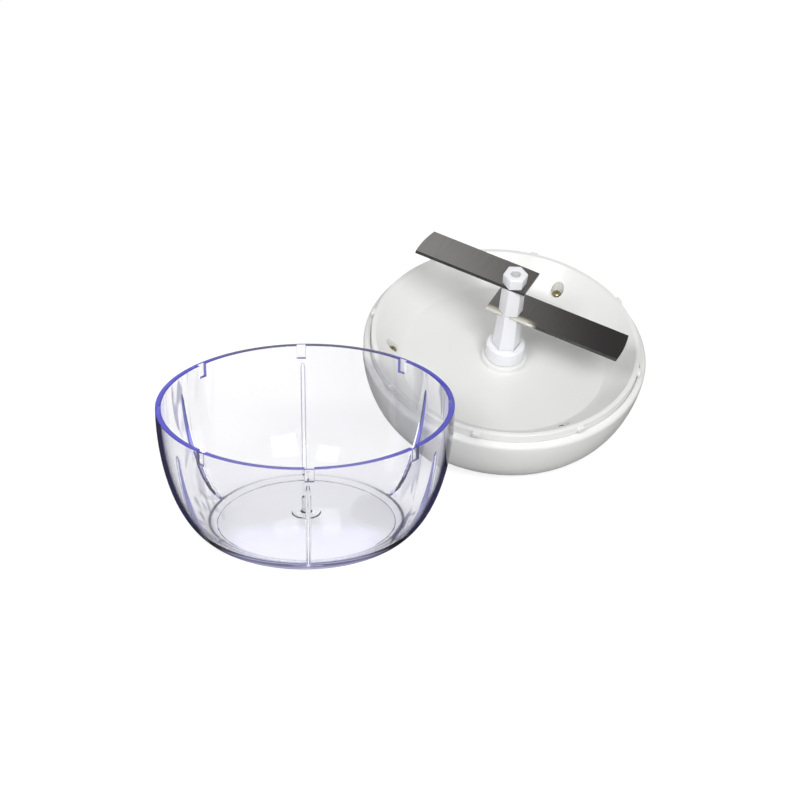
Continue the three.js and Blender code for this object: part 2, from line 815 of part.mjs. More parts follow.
// A blade that points along X. Its near edge lies at -Y where side is -1, at +Y where it is 1.
function bladeShape(reach, tail, near, far, side, height) {
  const top = height + bladeThickness / 2;
  const low = side < 0 ? -near : -far;
  const high = side < 0 ? far : near;
  const tip = Array.from({ length: bladeTipSteps + 1 }, (_, i) => {
    const across = low + ((high - low) * i) / bladeTipSteps;
    return at(Math.sqrt(reach * reach - across * across), across);
  });
  const outline = [at(-tail, low), ...tip, at(-tail, high)];
  const depth = bladeThickness * bladeBevelShare;
  const wedge = new THREE.Shape([
    at(side * (near + bladeBevel), top - 2 * depth),
    at(side * (near - 2 * bladeBevel), top + depth),
    at(side * (near + bladeBevel), top + depth),
  ]);
  const settings = { depth: reach + tail + 2 * overrun, bevelEnabled: false };
  const alongX = new THREE.Matrix4().makeBasis(
    new THREE.Vector3(0, 1, 0),
    new THREE.Vector3(0, 0, 1),
    new THREE.Vector3(1, 0, 0),
  );
  const bevel = new THREE.ExtrudeGeometry(wedge, settings)
    .applyMatrix4(alongX)
    .translate(-tail - overrun, 0, 0);
  const hole = bar(stemRadius + fit, height - bladeThickness, height + bladeThickness);
  return built(plate(outline, top - bladeThickness, top), [], [bevel, hole]);
}

function makeLowerBlade() {
  const sizes = [lowerBladeReach, lowerBladeTail, lowerBladeNear, lowerBladeFar];
  const blade = bladeShape(...sizes, -1, lowerBladeHeight);
  return piece("lower_blade", placed(blade, 0, bladeAngle), finishes.bladeSteel);
}

function makeUpperBlade() {
  const sizes = [upperBladeReach, upperBladeTail, upperBladeNear, upperBladeFar];
  const blade = bladeShape(...sizes, 1, upperBladeHeight);
  return piece("upper_blade", placed(blade, 0, bladeAngle + 180), finishes.bladeSteel);
}

// The tower is a stack on one stem: foot, lower blade, spacer, upper blade and nut.

const footTop = lowerBladeHeight + bladeThickness / 2;
const spacerTop = upperBladeHeight - bladeThickness / 2 - fit;
const nutFoot = upperBladeHeight + bladeThickness / 2 + fit;
const nutTop = nutFoot + nutHeight;
const stemTop = nutTop - nutRoof - fit;

function makeTowerFoot() {
  const body = turned(
    [
      at(0, socketFloor + plugEnd),
      at(towerFootRadius, socketFloor + plugEnd),
      at(towerFootRadius, collarTop),
      at(towerMiddleRadius, footTop),
      at(0, footTop),
    ],
    hexSides,
    towerAngle,
  );
  const seat = block(
    new THREE.Vector3(-lowerBladeTail - fit, -lowerBladeNear - fit, footTop - bladeThickness - fit),
    new THREE.Vector3(lowerBladeReach, lowerBladeFar + fit, footTop + overrun),
  );
  const stem = bar(stemRadius, lowerBladeHeight - stemRadius, stemTop);
  const bore = bar(stemBoreRadius, stemTop - stemBoreDepth, stemTop + overrun);
  const foot = built(body, [], [placed(seat, 0, bladeAngle)]);
  return piece("tower_foot", built(foot, [stem], [bore]), finishes.towerPlastic);
}

function makeTowerSpacer() {
  const low = footTop + fit;
  const body = bar(towerMiddleRadius, low, spacerTop, hexSides, towerTopRadius, towerAngle);
  const bore = bar(stemRadius + fit, low - overrun, spacerTop + overrun);
  return piece("tower_spacer", built(body, [], [bore]), finishes.towerPlastic);
}

function makeTowerNut() {
  const body = turned(
    [
      at(0, nutFoot),
      at(nutRadius - nutChamfer / 2, nutFoot),
      at(nutRadius, nutTop - 2 * nutChamfer),
      at(nutRadius - nutChamfer, nutTop),
      at(0, nutTop),
    ],
    hexSides,
    nutAngle,
  );
  const bore = bar(stemRadius + fit, nutFoot - overrun, nutTop - nutRoof);
  const mouth = bar(stemBoreRadius, nutTop - nutRoof - overrun, nutTop + overrun);
  return piece("tower_nut", built(body, [], [bore, mouth]), finishes.towerPlastic);
}

// The crank, with its arm along X

// The outline of an arm with two round ends, the wider one at the axis.
function armOutline() {
  const side = Math.acos((crankHubRadius - crankEndRadius) / crankReach) / degree;
  const arc = (radius, from, to, middle) =>
    Array.from({ length: armSteps + 1 }, (_, i) => {
      const spot = polar(radius, from + ((to - from) * i) / armSteps);
      return at(spot.x + middle, spot.y);
    });
  return [
    ...arc(crankEndRadius, -side, side, crankReach),
    ...arc(crankHubRadius, side, fullTurn - side, 0),
  ];
}

const armInner = crankFace + crankArmThickness;

function makeCrankArm() {
  const hub = bar(crankHubRadius, crankFace, crankFoot, wheelSides);
  const hexHole = bar(
    ringDriveRadius + fit,
    crankWebTop,
    crankFoot + overrun,
    hexSides,
    ringDriveRadius + fit,
  );
  const cuts = [
    hexHole,
    bar(crankCapRadius + fit, crankFace - overrun, crankWebBottom, wheelSides),
    bar(crankScrewShankRadius + fit, crankWebBottom - overrun, crankWebTop + overrun),
    placed(bar(knobPinRadius + fit, crankFace - overrun, armInner + overrun), crankReach, 0),
    placed(
      bar(knobPinHeadRadius + fit, armInner - knobPinHeadHeight - fit, armInner + overrun),
      crankReach,
      0,
    ),
  ];
  const arm = plate(armOutline(), crankFace, armInner);
  return piece("crank_arm", built(arm, [hub], cuts), finishes.whitePlastic);
}

function makeCrankBush() {
  const inner = ringHubRadius + fit;
  const outer = inner + crankBushWall;
  const flange = outer + crankBushFlangeReach;
  const flangeTop = domeTop - fit;
  const outline = [
    at(inner, flangeTop - crankBushFlangeThickness),
    at(flange, flangeTop - crankBushFlangeThickness),
    at(flange, flangeTop),
    at(outer, flangeTop),
    at(outer, webBottom - gearRun),
    at(inner, webBottom - gearRun),
  ];
  return piece("crank_bush", turned(outline), finishes.bushPlastic);
}

const crankWasherTop = crankWebBottom - fit;
const crankScrewSeat = crankWasherTop - crankWasherThickness - clampGap;

function makeCrankWasher() {
  const hole = crankScrewShankRadius + fit;
  const disc = tube(crankWasherRadius, hole, crankWasherTop - crankWasherThickness, crankWasherTop);
  return piece("crank_washer", disc, finishes.steel);
}

function makeCrankScrew() {
  const length = crankScrewLength;
  const screw = crossScrew(crankScrewHeadRadius, screwHeadHeight, crankScrewShankRadius, length);
  screw.rotateX(Math.PI).translate(0, 0, crankScrewSeat);
  return piece("crank_screw", screw, finishes.steel);
}

function makeCrankCap() {
  const cap = bar(crankCapRadius, crankFace, crankFace + crankCapThickness, wheelSides);
  return piece("crank_cap", cap, finishes.whitePlastic);
}

// The knob, with its pin on its own Z axis

// The knob's round end, from a radius to its middle or back.
function roundEnd(fromRadius, toRadius) {
  const turn = (radius) => Math.asin(radius / knobRadius);
  return Array.from({ length: knobRoundSteps + 1 }, (_, i) => {
    const angle = turn(fromRadius) + ((turn(toRadius) - turn(fromRadius)) * i) / knobRoundSteps;
    return at(knobRadius * Math.sin(angle), knobEndMiddle - knobRadius * Math.cos(angle));
  });
}

const capRim = roundEnd(knobCapRadius, 0)[0].y;
const capBack = capRim + knobCapSeat;
const knobWellFloor = capBack + fit + knobWellDepth;

function makeKnob() {
  const mouth = knobCapRadius + fit;
  const bore = knobPinRadius + fit;
  const outline = [
    ...roundEnd(mouth, knobRadius),
    at(knobNeckRadius, knobFoot),
    at(bore, knobFoot),
    at(bore, knobWellFloor),
    at(knobWellRadius, knobWellFloor),
    at(knobWellRadius, capBack + fit),
    at(mouth, capBack + fit),
  ];
  return piece("crank_knob", turned(outline), finishes.whitePlastic);
}

function makeKnobCap() {
  const outline = [...roundEnd(0, knobCapRadius), at(knobCapRadius, capBack), at(0, capBack)];
  outline[0] = at(0, knobEndMiddle - knobRadius);
  return piece("knob_cap", turned(outline), finishes.whitePlastic);
}

function makeKnobWasher() {
  const top = crankFace - fit;
  const hole = knobPinRadius + fit;
  const disc = tube(knobWasherRadius, hole, top - knobWasherThickness, top);
  return piece("knob_washer", disc, finishes.bushPlastic);
}

function makeKnobPin() {
  const headTop = armInner;
  const endTop = knobWellFloor - fit;
  const outline = [
    at(0, endTop - knobPinHeadHeight),
    at(knobPinHeadRadius, endTop - knobPinHeadHeight),
    at(knobPinHeadRadius, endTop),
    at(knobPinRadius, endTop),
    at(knobPinRadius, headTop - knobPinHeadHeight),
    at(knobPinHeadRadius, headTop - knobPinHeadHeight),
    at(knobPinHeadRadius, headTop),
    at(0, headTop),
  ];
  return piece("knob_pin", turned(outline, rodSides), finishes.steel);
}

// The whole chopper

const group = (...children) => new THREE.Group().add(...children);

const knob = group(makeKnob(), makeKnobCap(), makeKnobWasher(), makeKnobPin());
knob.position.x = crankReach;

const crank = group(makeCrankArm(), makeCrankWasher(), makeCrankScrew(), makeCrankCap(), knob);
crank.rotation.z = crankAngle * degree;

const tower = group(
  makeTowerFoot(),
  makeLowerBlade(),
  makeTowerSpacer(),
  makeUpperBlade(),
  makeTowerNut(),
);

const gears = group(
  makeRingGear(),
  ...makeIdlerGears(),
  makeSunGear(),
  makeSocket(),
  makeSpindleScrew(),
);

const casing = group(
  makeDome(),
  makeLiner(),
  ...makeLinerScrews(),
  makeSpindleBush(),
  makeCrankBush(),
  ...makeIdlerPins(),
  makeKeeper(),
  ...makeKeeperScrews(),
);

const lid = group(casing, gears, crank, tower);
const lean = restLean();
lid.applyMatrix4(lidMatrix(lean, restDistance(lean)));

export default group(makeBowl(), lid);
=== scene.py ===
"""The looks of a hand cranked food chopper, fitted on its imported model.

The clear bowl stands upright. The lid lies beside it upside down, with its blades in the
air, and leans on its dome and on the knob of its crank. Sizes are in millimetres, in each
sub-assembly's own frame. A finished mesh is in metres, in the model's frame.
"""

import logging
import math
from dataclasses import dataclass, field
from enum import Enum
from functools import cache
from typing import Sequence

import bmesh
import bpy
from mathutils import Matrix, Vector


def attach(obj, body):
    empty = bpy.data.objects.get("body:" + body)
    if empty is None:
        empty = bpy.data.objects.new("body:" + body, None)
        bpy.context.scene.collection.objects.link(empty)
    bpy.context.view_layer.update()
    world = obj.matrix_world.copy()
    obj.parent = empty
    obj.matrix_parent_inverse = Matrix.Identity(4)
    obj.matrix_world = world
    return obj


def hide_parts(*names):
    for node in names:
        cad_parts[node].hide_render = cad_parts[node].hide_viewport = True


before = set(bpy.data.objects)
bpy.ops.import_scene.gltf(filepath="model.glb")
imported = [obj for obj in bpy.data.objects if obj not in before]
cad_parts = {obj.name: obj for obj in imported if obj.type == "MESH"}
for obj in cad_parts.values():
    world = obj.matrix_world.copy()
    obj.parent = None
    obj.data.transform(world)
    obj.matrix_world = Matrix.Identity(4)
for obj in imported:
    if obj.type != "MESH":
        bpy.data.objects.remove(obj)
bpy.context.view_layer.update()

LOG = logging.getLogger("chopper")
MM = 0.001
QUARTER = math.pi / 2
SMOOTH_BELOW = math.radians(32)
ROUND_ABOVE = math.radians(20)  # a smaller turn between two sides is left as it is
ROUND_SHARE = 0.45  # how much of a short side its rounded corner may take
CORNER_STEPS = 3
HEX = 6
ROUND_SIDES = 96
HOLE_SIDES = 64
SCREW_SIDES = 48
ON_AXIS = 1e-6
WELD = 1e-3
FINE_WELD = 1e-4
OVERRUN = 1.0  # how far a cutter reaches past what it cuts
PLACE = "place"  # the attribute that keeps a piece's own coordinates, in metres
LID_UP = (0.083909, -0.336539, 0.937924)  # the way that the inside of the leaning lid faces
BLACK = (0, 0, 0, 1)
WHITE = (1, 1, 1, 1)

Mesh = bpy.types.Mesh
Socket = bpy.types.NodeSocket
Tree = bpy.types.NodeTree
Range = tuple[float, float]
Outline = list[tuple[float, float]]
Colour = tuple[float, float, float, float]


class Join(Enum):
    """How one solid changes another."""

    ADD = "UNION"
    CUT = "DIFFERENCE"
    KEEP = "INTERSECT"


class Coordinates(Enum):
    """What a finish measures its pattern by."""

    MODEL = "the model's own coordinates"
    PIECE = "the piece's coordinates, in its sub-assembly's frame"


# Meshes


def mesh_of(points: Sequence[Sequence[float]], faces: Sequence[Sequence[int]]) -> Mesh:
    """Makes a mesh.

    Args:
        points: The corners, in millimetres.
        faces: The corner numbers of each face, anticlockwise from outside.

    Returns:
        The new mesh.
    """
    mesh = bpy.data.meshes.new("part")
    mesh.from_pydata([tuple(p) for p in points], [], [tuple(f) for f in faces])
    mesh.validate()
    return mesh


def lathe(outline: Outline, sides: int, closed: bool = False) -> Mesh:
    """Turns an outline about Z.

    Args:
        outline: Radius and height of each point, up the outside and down the inside.
        sides: The number of faces round the axis.
        closed: Whether the last point joins the first one.

    Returns:
        The turned mesh. A point on the axis becomes one corner.
    """
    points: list[tuple[float, float, float]] = []
    rows: list[list[int]] = []
    for radius, height in outline:
        count = 1 if radius < ON_AXIS else sides
        rows.append(list(range(len(points), len(points) + count)))
        for i in range(count):
            angle = 2 * math.pi * i / sides
            points.append((radius * math.cos(angle), radius * math.sin(angle), height))
    pairs = list(zip(rows, rows[1:])) + ([(rows[-1], rows[0])] if closed else [])
    faces = []
    for low, high in pairs:
        for i in range(sides):
            j = (i + 1) % sides
            loop = [low[i % len(low)], low[j % len(low)], high[j % len(high)], high[i % len(high)]]
            face = list(dict.fromkeys(loop))
            if len(face) > 2:
                faces.append(face)
    return mesh_of(points, faces)


def loft(rings: Sequence[Sequence[Vector]]) -> Mesh:
    """Joins rings of equal count, and closes the first and the last.

    Args:
        rings: Loops of points, anticlockwise seen from the last ring.

    Returns:
        A closed mesh.
    """
    count = len(rings[0])
    points = [p for ring in rings for p in ring]
    faces = [list(range(count))[::-1], [len(points) - count + i for i in range(count)]]
    for row in range(len(rings) - 1):
        for i in range(count):
            j = (i + 1) % count
            base = row * count
            faces.append([base + i, base + j, base + count + j, base + count + i])
    return mesh_of(points, faces)


def ring_at(flat: Outline, height: float) -> list[Vector]:
    """A flat outline as a ring at a height."""
    return [Vector((x, y, height)) for x, y in flat]


def rectangle(start: float, end: float, half: float) -> Outline:
    """A rectangle along X, with its half width to either side."""
    return [(start, -half), (end, -half), (end, half), (start, half)]


def rounded(outline: Outline, radius: float, steps: int = 4, closed: bool = False) -> Outline:
    """Rounds the corners of an outline.

    Args:
        outline: The points.
        radius: The radius of each corner, less where its sides are short.
        steps: The number of short sides in each corner.
        closed: Whether the outline is a loop.

    Returns:
        The outline with its corners rounded.
    """
    result: Outline = []
    last = len(outline) - 1
    for i, corner in enumerate(outline):
        here = Vector(corner)
        before = Vector(outline[i - 1]) - here
        after = Vector(outline[(i + 1) % len(outline)]) - here
        turn = math.pi - before.angle(after, math.pi)
        if (not closed and i in (0, last)) or turn < ROUND_ABOVE:
            result.append(corner)
            continue
        room = ROUND_SHARE * min(before.length, after.length)
        reach = min(radius * math.tan(turn / 2), room)
        start = here + before.normalized() * reach
        end = here + after.normalized() * reach
        for k in range(steps + 1):
            share = k / steps
            spot = start * (1 - share) ** 2 + here * 2 * share * (1 - share) + end * share**2
            result.append((spot.x, spot.y))
    return result


def prism(profile: Outline, sides: int, angle: float, rounding: float) -> Mesh:
    """Makes a prism with rounded upright edges.

    Args:
        profile: Corner radius and height of each level, from low to high.
        sides: The number of its sides.
        angle: The compass angle of its first corner, in degrees.
        rounding: The radius of its upright edges.

    Returns:
        A closed mesh.
    """
    turns = [math.radians(angle) + 2 * math.pi * i / sides for i in range(sides)]
    rings = []
    for radius, height in profile:
        if radius < ON_AXIS:
            continue
        corners = [(radius * math.cos(t), radius * math.sin(t)) for t in turns]
        rings.append(ring_at(rounded(corners, rounding, CORNER_STEPS, closed=True), height))
    return loft(rings)


def rod(radius: float, low: float, high: float, sides: int = SCREW_SIDES) -> Mesh:
    """Makes a plain round bar, mostly used as a cutter."""
    return lathe([(0, low), (radius, low), (radius, high), (0, high)], sides)


def block(low: Sequence[float], high: Sequence[float]) -> Mesh:
    """Makes a block between two corners, used as a cutter."""
    (x0, y0, z0), (x1, y1, z1) = low, high
    flat = [(x0, y0), (x1, y0), (x1, y1), (x0, y1)]
    return loft([ring_at(flat, z0), ring_at(flat, z1)])


def moved(mesh: Mesh, matrix: Matrix) -> Mesh:
    """Moves a mesh in place and returns it."""
    mesh.transform(matrix)
    return mesh


def evaluated(work: bpy.types.Object) -> Mesh:
    """The plain mesh that an object's modifiers give."""
    graph = bpy.context.evaluated_depsgraph_get()
    return bpy.data.meshes.new_from_object(work.evaluated_get(graph))


def combined(base: Mesh, tools: Sequence[Mesh], how: Join) -> Mesh:
    """Adds closed meshes to another one, or cuts them from it.

    Args:
        base: The mesh that is changed.
        tools: The meshes that change it, one after the other.
        how: Whether they add, cut or keep.

    Returns:
        The new mesh.
    """
    collection = bpy.context.scene.collection
    work = bpy.data.objects.new("work", base)
    collection.objects.link(work)
    used = []
    for tool in tools:
        other = bpy.data.objects.new("tool", tool)
        collection.objects.link(other)
        modifier = work.modifiers.new("join", "BOOLEAN")
        modifier.operation = how.value
        modifier.solver = "MANIFOLD"
        modifier.object = other
        used.append(other)
    result = evaluated(work)
    for extra in [work, *used]:
        bpy.data.objects.remove(extra)
    return result


def gathered(meshes: Sequence[Mesh], merge: float = 0.0) -> Mesh:
    """Puts meshes into one.

    Args:
        meshes: The meshes.
        merge: The distance below which their corners become one.

    Returns:
        One mesh.
    """
    work = bmesh.new()
    for mesh in meshes:
        work.from_mesh(mesh)
    if merge:
        bmesh.ops.remove_doubles(work, verts=work.verts, dist=merge)
    result = bpy.data.meshes.new("part")
    work.to_mesh(result)
    work.free()
    return result


# Node trees


class Nodes:
    """One node tree, with short ways to add nodes and to join them."""

    KINDS = {float: "Float", int: "Int", bool: "Bool"}

    def __init__(self, tree: Tree) -> None:
        """Takes the tree to work on."""
        self.tree = tree

    def add(self, kind: str, **settings: object) -> bpy.types.Node:
        """Adds a node.

        Args:
            kind: The node's type name.
            **settings: Properties to set on it.

        Returns:
            The new node.
        """
        node = self.tree.nodes.new(kind)
        for name, value in settings.items():
            setattr(node, name, value)
        return node

    def put(self, socket: Socket, value: object) -> None:
        """Sets a socket to a plain value, or joins another socket to it."""
        if isinstance(value, bpy.types.NodeSocket):
            self.tree.links.new(value, socket)
        else:
            socket.default_value = value

    def fed(self, kind: str, inputs: dict[object, object], **settings: object) -> bpy.types.Node:
        """Adds a node and fills its sockets.

        Args:
            kind: The node's type name.
            inputs: A value or a socket for each input's name or number.
            **settings: Properties to set on it.

        Returns:
            The new node.
        """
        node = self.add(kind, **settings)
        for key, value in inputs.items():
            self.put(node.inputs[key], value)
        return node

    def takes(self, inputs: dict[str, object]) -> bpy.types.NodeOutputs:
        """Gives a group its inputs.

        Args:
            inputs: A first value for each input's name, or else the input's kind.

        Returns:
            The sockets that bring the inputs into the group.
        """
        for name, value in inputs.items():
            kind = self.KINDS.get(type(value), value)
            kinds = {"in_out": "INPUT", "socket_type": f"NodeSocket{kind}"}
            made = self.tree.interface.new_socket(name, **kinds)
            if kind != value:
                made.default_value = value
        return self.add("NodeGroupInput").outputs

    def gives(self, kind: str, results: dict[str, Socket]) -> Tree:
        """Gives a group its outputs.

        Args:
            kind: The kind of the outputs.
            results: What each output's name gives.

        Returns:
            The group's tree.
        """
        kinds = {"in_out": "OUTPUT", "socket_type": f"NodeSocket{kind}"}
        for name in results:
            self.tree.interface.new_socket(name, **kinds)
        out = self.add("NodeGroupOutput")
        for name, result in results.items():
            self.put(out.inputs[name], result)
        return self.tree

    def math(self, operation: str, first: object, second: object = 0.0) -> Socket:
        """The result of one sum on numbers or sockets."""
        return self.fed("ShaderNodeMath", {0: first, 1: second}, operation=operation).outputs[0]

    def product(self, first: object, *others: object) -> Socket:
        """The product of numbers or sockets."""
        for other in others:
            first = self.math("MULTIPLY", first, other)
        return first

    def span(self, value: object, lows: Range, highs: Range) -> Socket:
        """Maps a value smoothly from one range to another.

        Args:
            value: The number or socket.
            lows: The value's own range.
            highs: The range that it gives, held at its ends.

        Returns:
            The mapped value.
        """
        names = ("Value", "From Min", "From Max", "To Min", "To Max")
        inputs = dict(zip(names, (value, *lows, *highs)))
        node = self.fed("ShaderNodeMapRange", inputs, interpolation_type="SMOOTHSTEP")
        return node.outputs["Result"]

    def rising(self, value: object, ends: Range, unit: float = 1.0) -> Socket:
        """A mask that goes smoothly from 0 to 1 between two values, given in a unit."""
        return self.span(value, (ends[0] * unit, ends[1] * unit), (0.0, 1.0))

    def falling(self, value: object, ends: Range, unit: float = 1.0) -> Socket:
        """A mask that goes smoothly from 1 to 0 between two values, given in a unit."""
        return self.span(value, (ends[0] * unit, ends[1] * unit), (1.0, 0.0))

    def blend(self, share: object, first: object, second: object) -> Socket:
        """A mix of two numbers by a share."""
        inputs = {"Factor": share, "A": first, "B": second}
        return self.fed("ShaderNodeMix", inputs, data_type="FLOAT").outputs[0]

    def noise(self, vector: Socket, scale: object, detail: float, **more: float) -> Socket:
        """Soft noise with a scale and a depth of detail."""
        inputs = {"Vector": vector, "Scale": scale, "Detail": detail, **more}
        return self.fed("ShaderNodeTexNoise", inputs).outputs[0]

    def vector(self, *parts: object) -> Socket:
        """A vector from its first two or all three parts."""
        return self.fed("ShaderNodeCombineXYZ", dict(enumerate(parts))).outputs[0]

    def parts(self, vector: Socket) -> bpy.types.NodeOutputs:
        """A vector's parts, by the names X, Y and Z."""
        return self.fed("ShaderNodeSeparateXYZ", {0: vector}).outputs

    def scaled(self, vector: Socket, scale: object) -> Socket:
        """A vector with each part multiplied by that of another."""
        inputs = {0: vector, 1: scale}
        return self.fed("ShaderNodeVectorMath", inputs, operation="MULTIPLY").outputs[0]

    def dot(self, first: object, second: object) -> Socket:
        """The dot product of two vectors."""
        inputs = {0: first, 1: second}
        return self.fed("ShaderNodeVectorMath", inputs, operation="DOT_PRODUCT").outputs["Value"]

    def on_circle(self, radius: object, turn: Socket, height: object = 0.0) -> Socket:
        """The point at a radius, a turn about Z and a height."""
        across = self.product(radius, self.math("COSINE", turn))
        along = self.product(radius, self.math("SINE", turn))
        return self.vector(across, along, height)

    def dressed(self, geometry: Socket, finish: Socket, name: str) -> Tree:
        """Ends a geometry tree.

        Args:
            geometry: What the tree has made.
            finish: The material that it gets.
            name: The name of the tree's output.

        Returns:
            The tree.
        """
        whole = self.fed("GeometryNodeRealizeInstances", {"Geometry": geometry}).outputs[0]
        coated = self.fed("GeometryNodeSetMaterial", {"Geometry": whole, "Material": finish})
        return self.gives("Geometry", {name: coated.outputs[0]})


# Shapes that follow a rule, as geometry trees


@cache
def wall_tree() -> Tree:
    """A wall of revolution whose radius and height follow powers of a sine and a cosine.

    Returns:
        The tree. Its surface runs from the pole or foot up to the rim, and faces outwards.
    """
    nodes = Nodes(bpy.data.node_groups.new("wall_of_revolution", "GeometryNodeTree"))
    given = nodes.takes({
        "Foot Radius": 0.0,
        "Rim Radius": 80.0,
        "Foot Height": 0.0,
        "Rim Height": 70.0,
        "Radius Power": 1.0,
        "Height Power": 1.0,
        "Crowding": 1.0,
        "Last Angle": 90.0,
        "Sides": 96,
        "Steps": 32,
        "Inside": False,
        "Finish": "Material",
    })
    columns = nodes.math("ADD", given["Sides"], 1)
    rows = nodes.math("ADD", given["Steps"], 1)
    inputs = {"Size X": 1.0, "Size Y": 1.0, "Vertices X": columns, "Vertices Y": rows}
    grid = nodes.fed("GeometryNodeMeshGrid", inputs).outputs["Mesh"]
    spot = nodes.parts(nodes.add("GeometryNodeInputPosition").outputs[0])
    turn = nodes.product(nodes.math("ADD", spot["X"], 0.5), 2 * math.pi)
    share = nodes.math("POWER", nodes.math("ADD", spot["Y"], 0.5), given["Crowding"])
    rise = nodes.product(share, nodes.math("RADIANS", given["Last Angle"]))
    sine = nodes.math("MAXIMUM", nodes.math("SINE", rise), 0.0)
    cosine = nodes.math("MAXIMUM", nodes.math("COSINE", rise), 0.0)
    width = nodes.math("SUBTRACT", given["Rim Radius"], given["Foot Radius"])
    height = nodes.math("SUBTRACT", given["Rim Height"], given["Foot Height"])
    reach = nodes.product(width, nodes.math("POWER", sine, given["Radius Power"]))
    drop = nodes.product(height, nodes.math("POWER", cosine, given["Height Power"]))
    radius = nodes.math("ADD", given["Foot Radius"], reach)
    place = nodes.on_circle(radius, turn, nodes.math("SUBTRACT", given["Rim Height"], drop))
    shaped = nodes.fed("GeometryNodeSetPosition", {"Geometry": grid, "Position": place}).outputs[0]
    inputs = {"Geometry": shaped, "Distance": FINE_WELD}
    merged = nodes.fed("GeometryNodeMergeByDistance", inputs).outputs[0]
    inputs = {"Mesh": merged, "Selection": given["Inside"]}
    turned = nodes.fed("GeometryNodeFlipFaces", inputs).outputs[0]
    return nodes.dressed(turned, given["Finish"], "Wall")


@cache
def copies_tree() -> Tree:
    """Copies of one piece, spread evenly round Z, each turned a little about its own axis.

    Returns:
        The tree.
    """
    nodes = Nodes(bpy.data.node_groups.new("copies_round_axis", "GeometryNodeTree"))
    given = nodes.takes({
        "Piece": "Geometry",
        "Count": 3,
        "Circle": 0.0,
        "First Angle": 0.0,
        "Spin": 0.0,
        "Seed": 3,
        "Finish": "Material",
    })
    share = nodes.math("DIVIDE", nodes.add("GeometryNodeInputIndex").outputs[0], given["Count"])
    degrees = nodes.math("ADD", nodes.product(share, 360.0), given["First Angle"])
    turn = nodes.math("RADIANS", degrees)
    points = nodes.fed("GeometryNodePoints", {"Count": given["Count"]}).outputs[0]
    place = nodes.on_circle(given["Circle"], turn)
    inputs = {"Geometry": points, "Position": place}
    spread = nodes.fed("GeometryNodeSetPosition", inputs).outputs[0]
    chance = nodes.fed("FunctionNodeRandomValue", {"Seed": given["Seed"]}, data_type="FLOAT")
    drawn = next(o for o in chance.outputs if o.enabled)
    swing = nodes.product(nodes.math("SUBTRACT", drawn, 0.5), given["Spin"])
    facing = nodes.math("ADD", turn, nodes.math("RADIANS", swing))
    turned = nodes.vector(0.0, 0.0, facing)
    inputs = {"Points": spread, "Instance": given["Piece"], "Rotation": turned}
    made = nodes.fed("GeometryNodeInstanceOnPoints", inputs).outputs[0]
    return nodes.dressed(made, given["Finish"], "Copies")


def grown(tree: Tree, values: dict[str, object], start: Mesh | None = None) -> Mesh:
    """Runs a geometry tree and returns what it makes as a plain mesh.

    Args:
        tree: The geometry tree.
        values: A value for each input's name.
        start: The mesh that the tree starts from, if it takes one.

    Returns:
        The result.
    """
    work = bpy.data.objects.new("work", start or bpy.data.meshes.new("start"))
    bpy.context.scene.collection.objects.link(work)
    modifier = work.modifiers.new("shape", "NODES")
    modifier.node_group = tree
    for item in tree.interface.items_tree:
        if item.item_type == "SOCKET" and item.in_out == "INPUT" and item.name in values:
            modifier[item.identifier] = values[item.name]
    result = evaluated(work)
    bpy.data.objects.remove(work)
    return result


def copies(piece: Mesh, count: int, circle: float, first: float, spin: float = 0.0) -> Mesh:
    """Copies a piece evenly round Z.

    Args:
        piece: The piece, which faces along X.
        count: The number of copies.
        circle: The radius of the circle that they stand on.
        first: The first copy's compass angle, in degrees.
        spin: The spread of the turns about their own axes, in degrees.

    Returns:
        All copies in one mesh.
    """
    values = {"Count": count, "Circle": circle, "First Angle": first, "Spin": spin, "Seed": 3}
    return grown(copies_tree(), values, piece)


# Shared effects, as shader groups


@cache
def mottle_group() -> Tree:
    """A soft cloudy value between two limits, for colour and gloss that vary a little.

    Returns:
        The group, with the output Value.
    """
    nodes = Nodes(bpy.data.node_groups.new("mottle", "ShaderNodeTree"))
    given = nodes.takes({"Vector": "Vector", "Scale": 60.0, "Low": 0.0, "High": 1.0})
    noise = nodes.noise(given["Vector"], given["Scale"], 3.0, Roughness=0.55)
    limits = {"To Min": given["Low"], "To Max": given["High"]}
    inputs = {"Value": noise, "From Min": 0.3, "From Max": 0.7, **limits}
    mapped = nodes.fed("ShaderNodeMapRange", inputs).outputs["Result"]
    return nodes.gives("Float", {"Value": mapped})


@cache
def grain_group() -> Tree:
    """The fine skin of a moulding: small grain with slow waves under it.

    Returns:
        The group, with the output Height.
    """
    nodes = Nodes(bpy.data.node_groups.new("moulded_grain", "ShaderNodeTree"))
    scales = {"Grain Scale": 2400.0, "Wave Scale": 45.0, "Wave Share": 0.6}
    given = nodes.takes({"Vector": "Vector", **scales})
    grain = nodes.noise(given["Vector"], given["Grain Scale"], 2.0)
    wave = nodes.noise(given["Vector"], given["Wave Scale"], 1.0)
    return nodes.gives("Float", {"Height": nodes.blend(given["Wave Share"], grain, wave)})


@cache
def brushing_group() -> Tree:
    """Fine lines across X, as a grinding belt leaves them on sheet steel.

    Returns:
        The group, with the outputs Lines and Bands.
    """
    nodes = Nodes(bpy.data.node_groups.new("brushed_lines", "ShaderNodeTree"))
    given = nodes.takes({"Vector": "Vector", "Line Density": 1800.0, "Line Length": 40.0})
    spread = nodes.vector(given["Line Density"], given["Line Length"], 1.0)
    stretched = nodes.scaled(given["Vector"], spread)
    fine, wide = nodes.noise(stretched, 1.0, 3.0), nodes.noise(stretched, 0.12, 2.0)
    return nodes.gives("Float", {"Lines": fine, "Bands": wide})


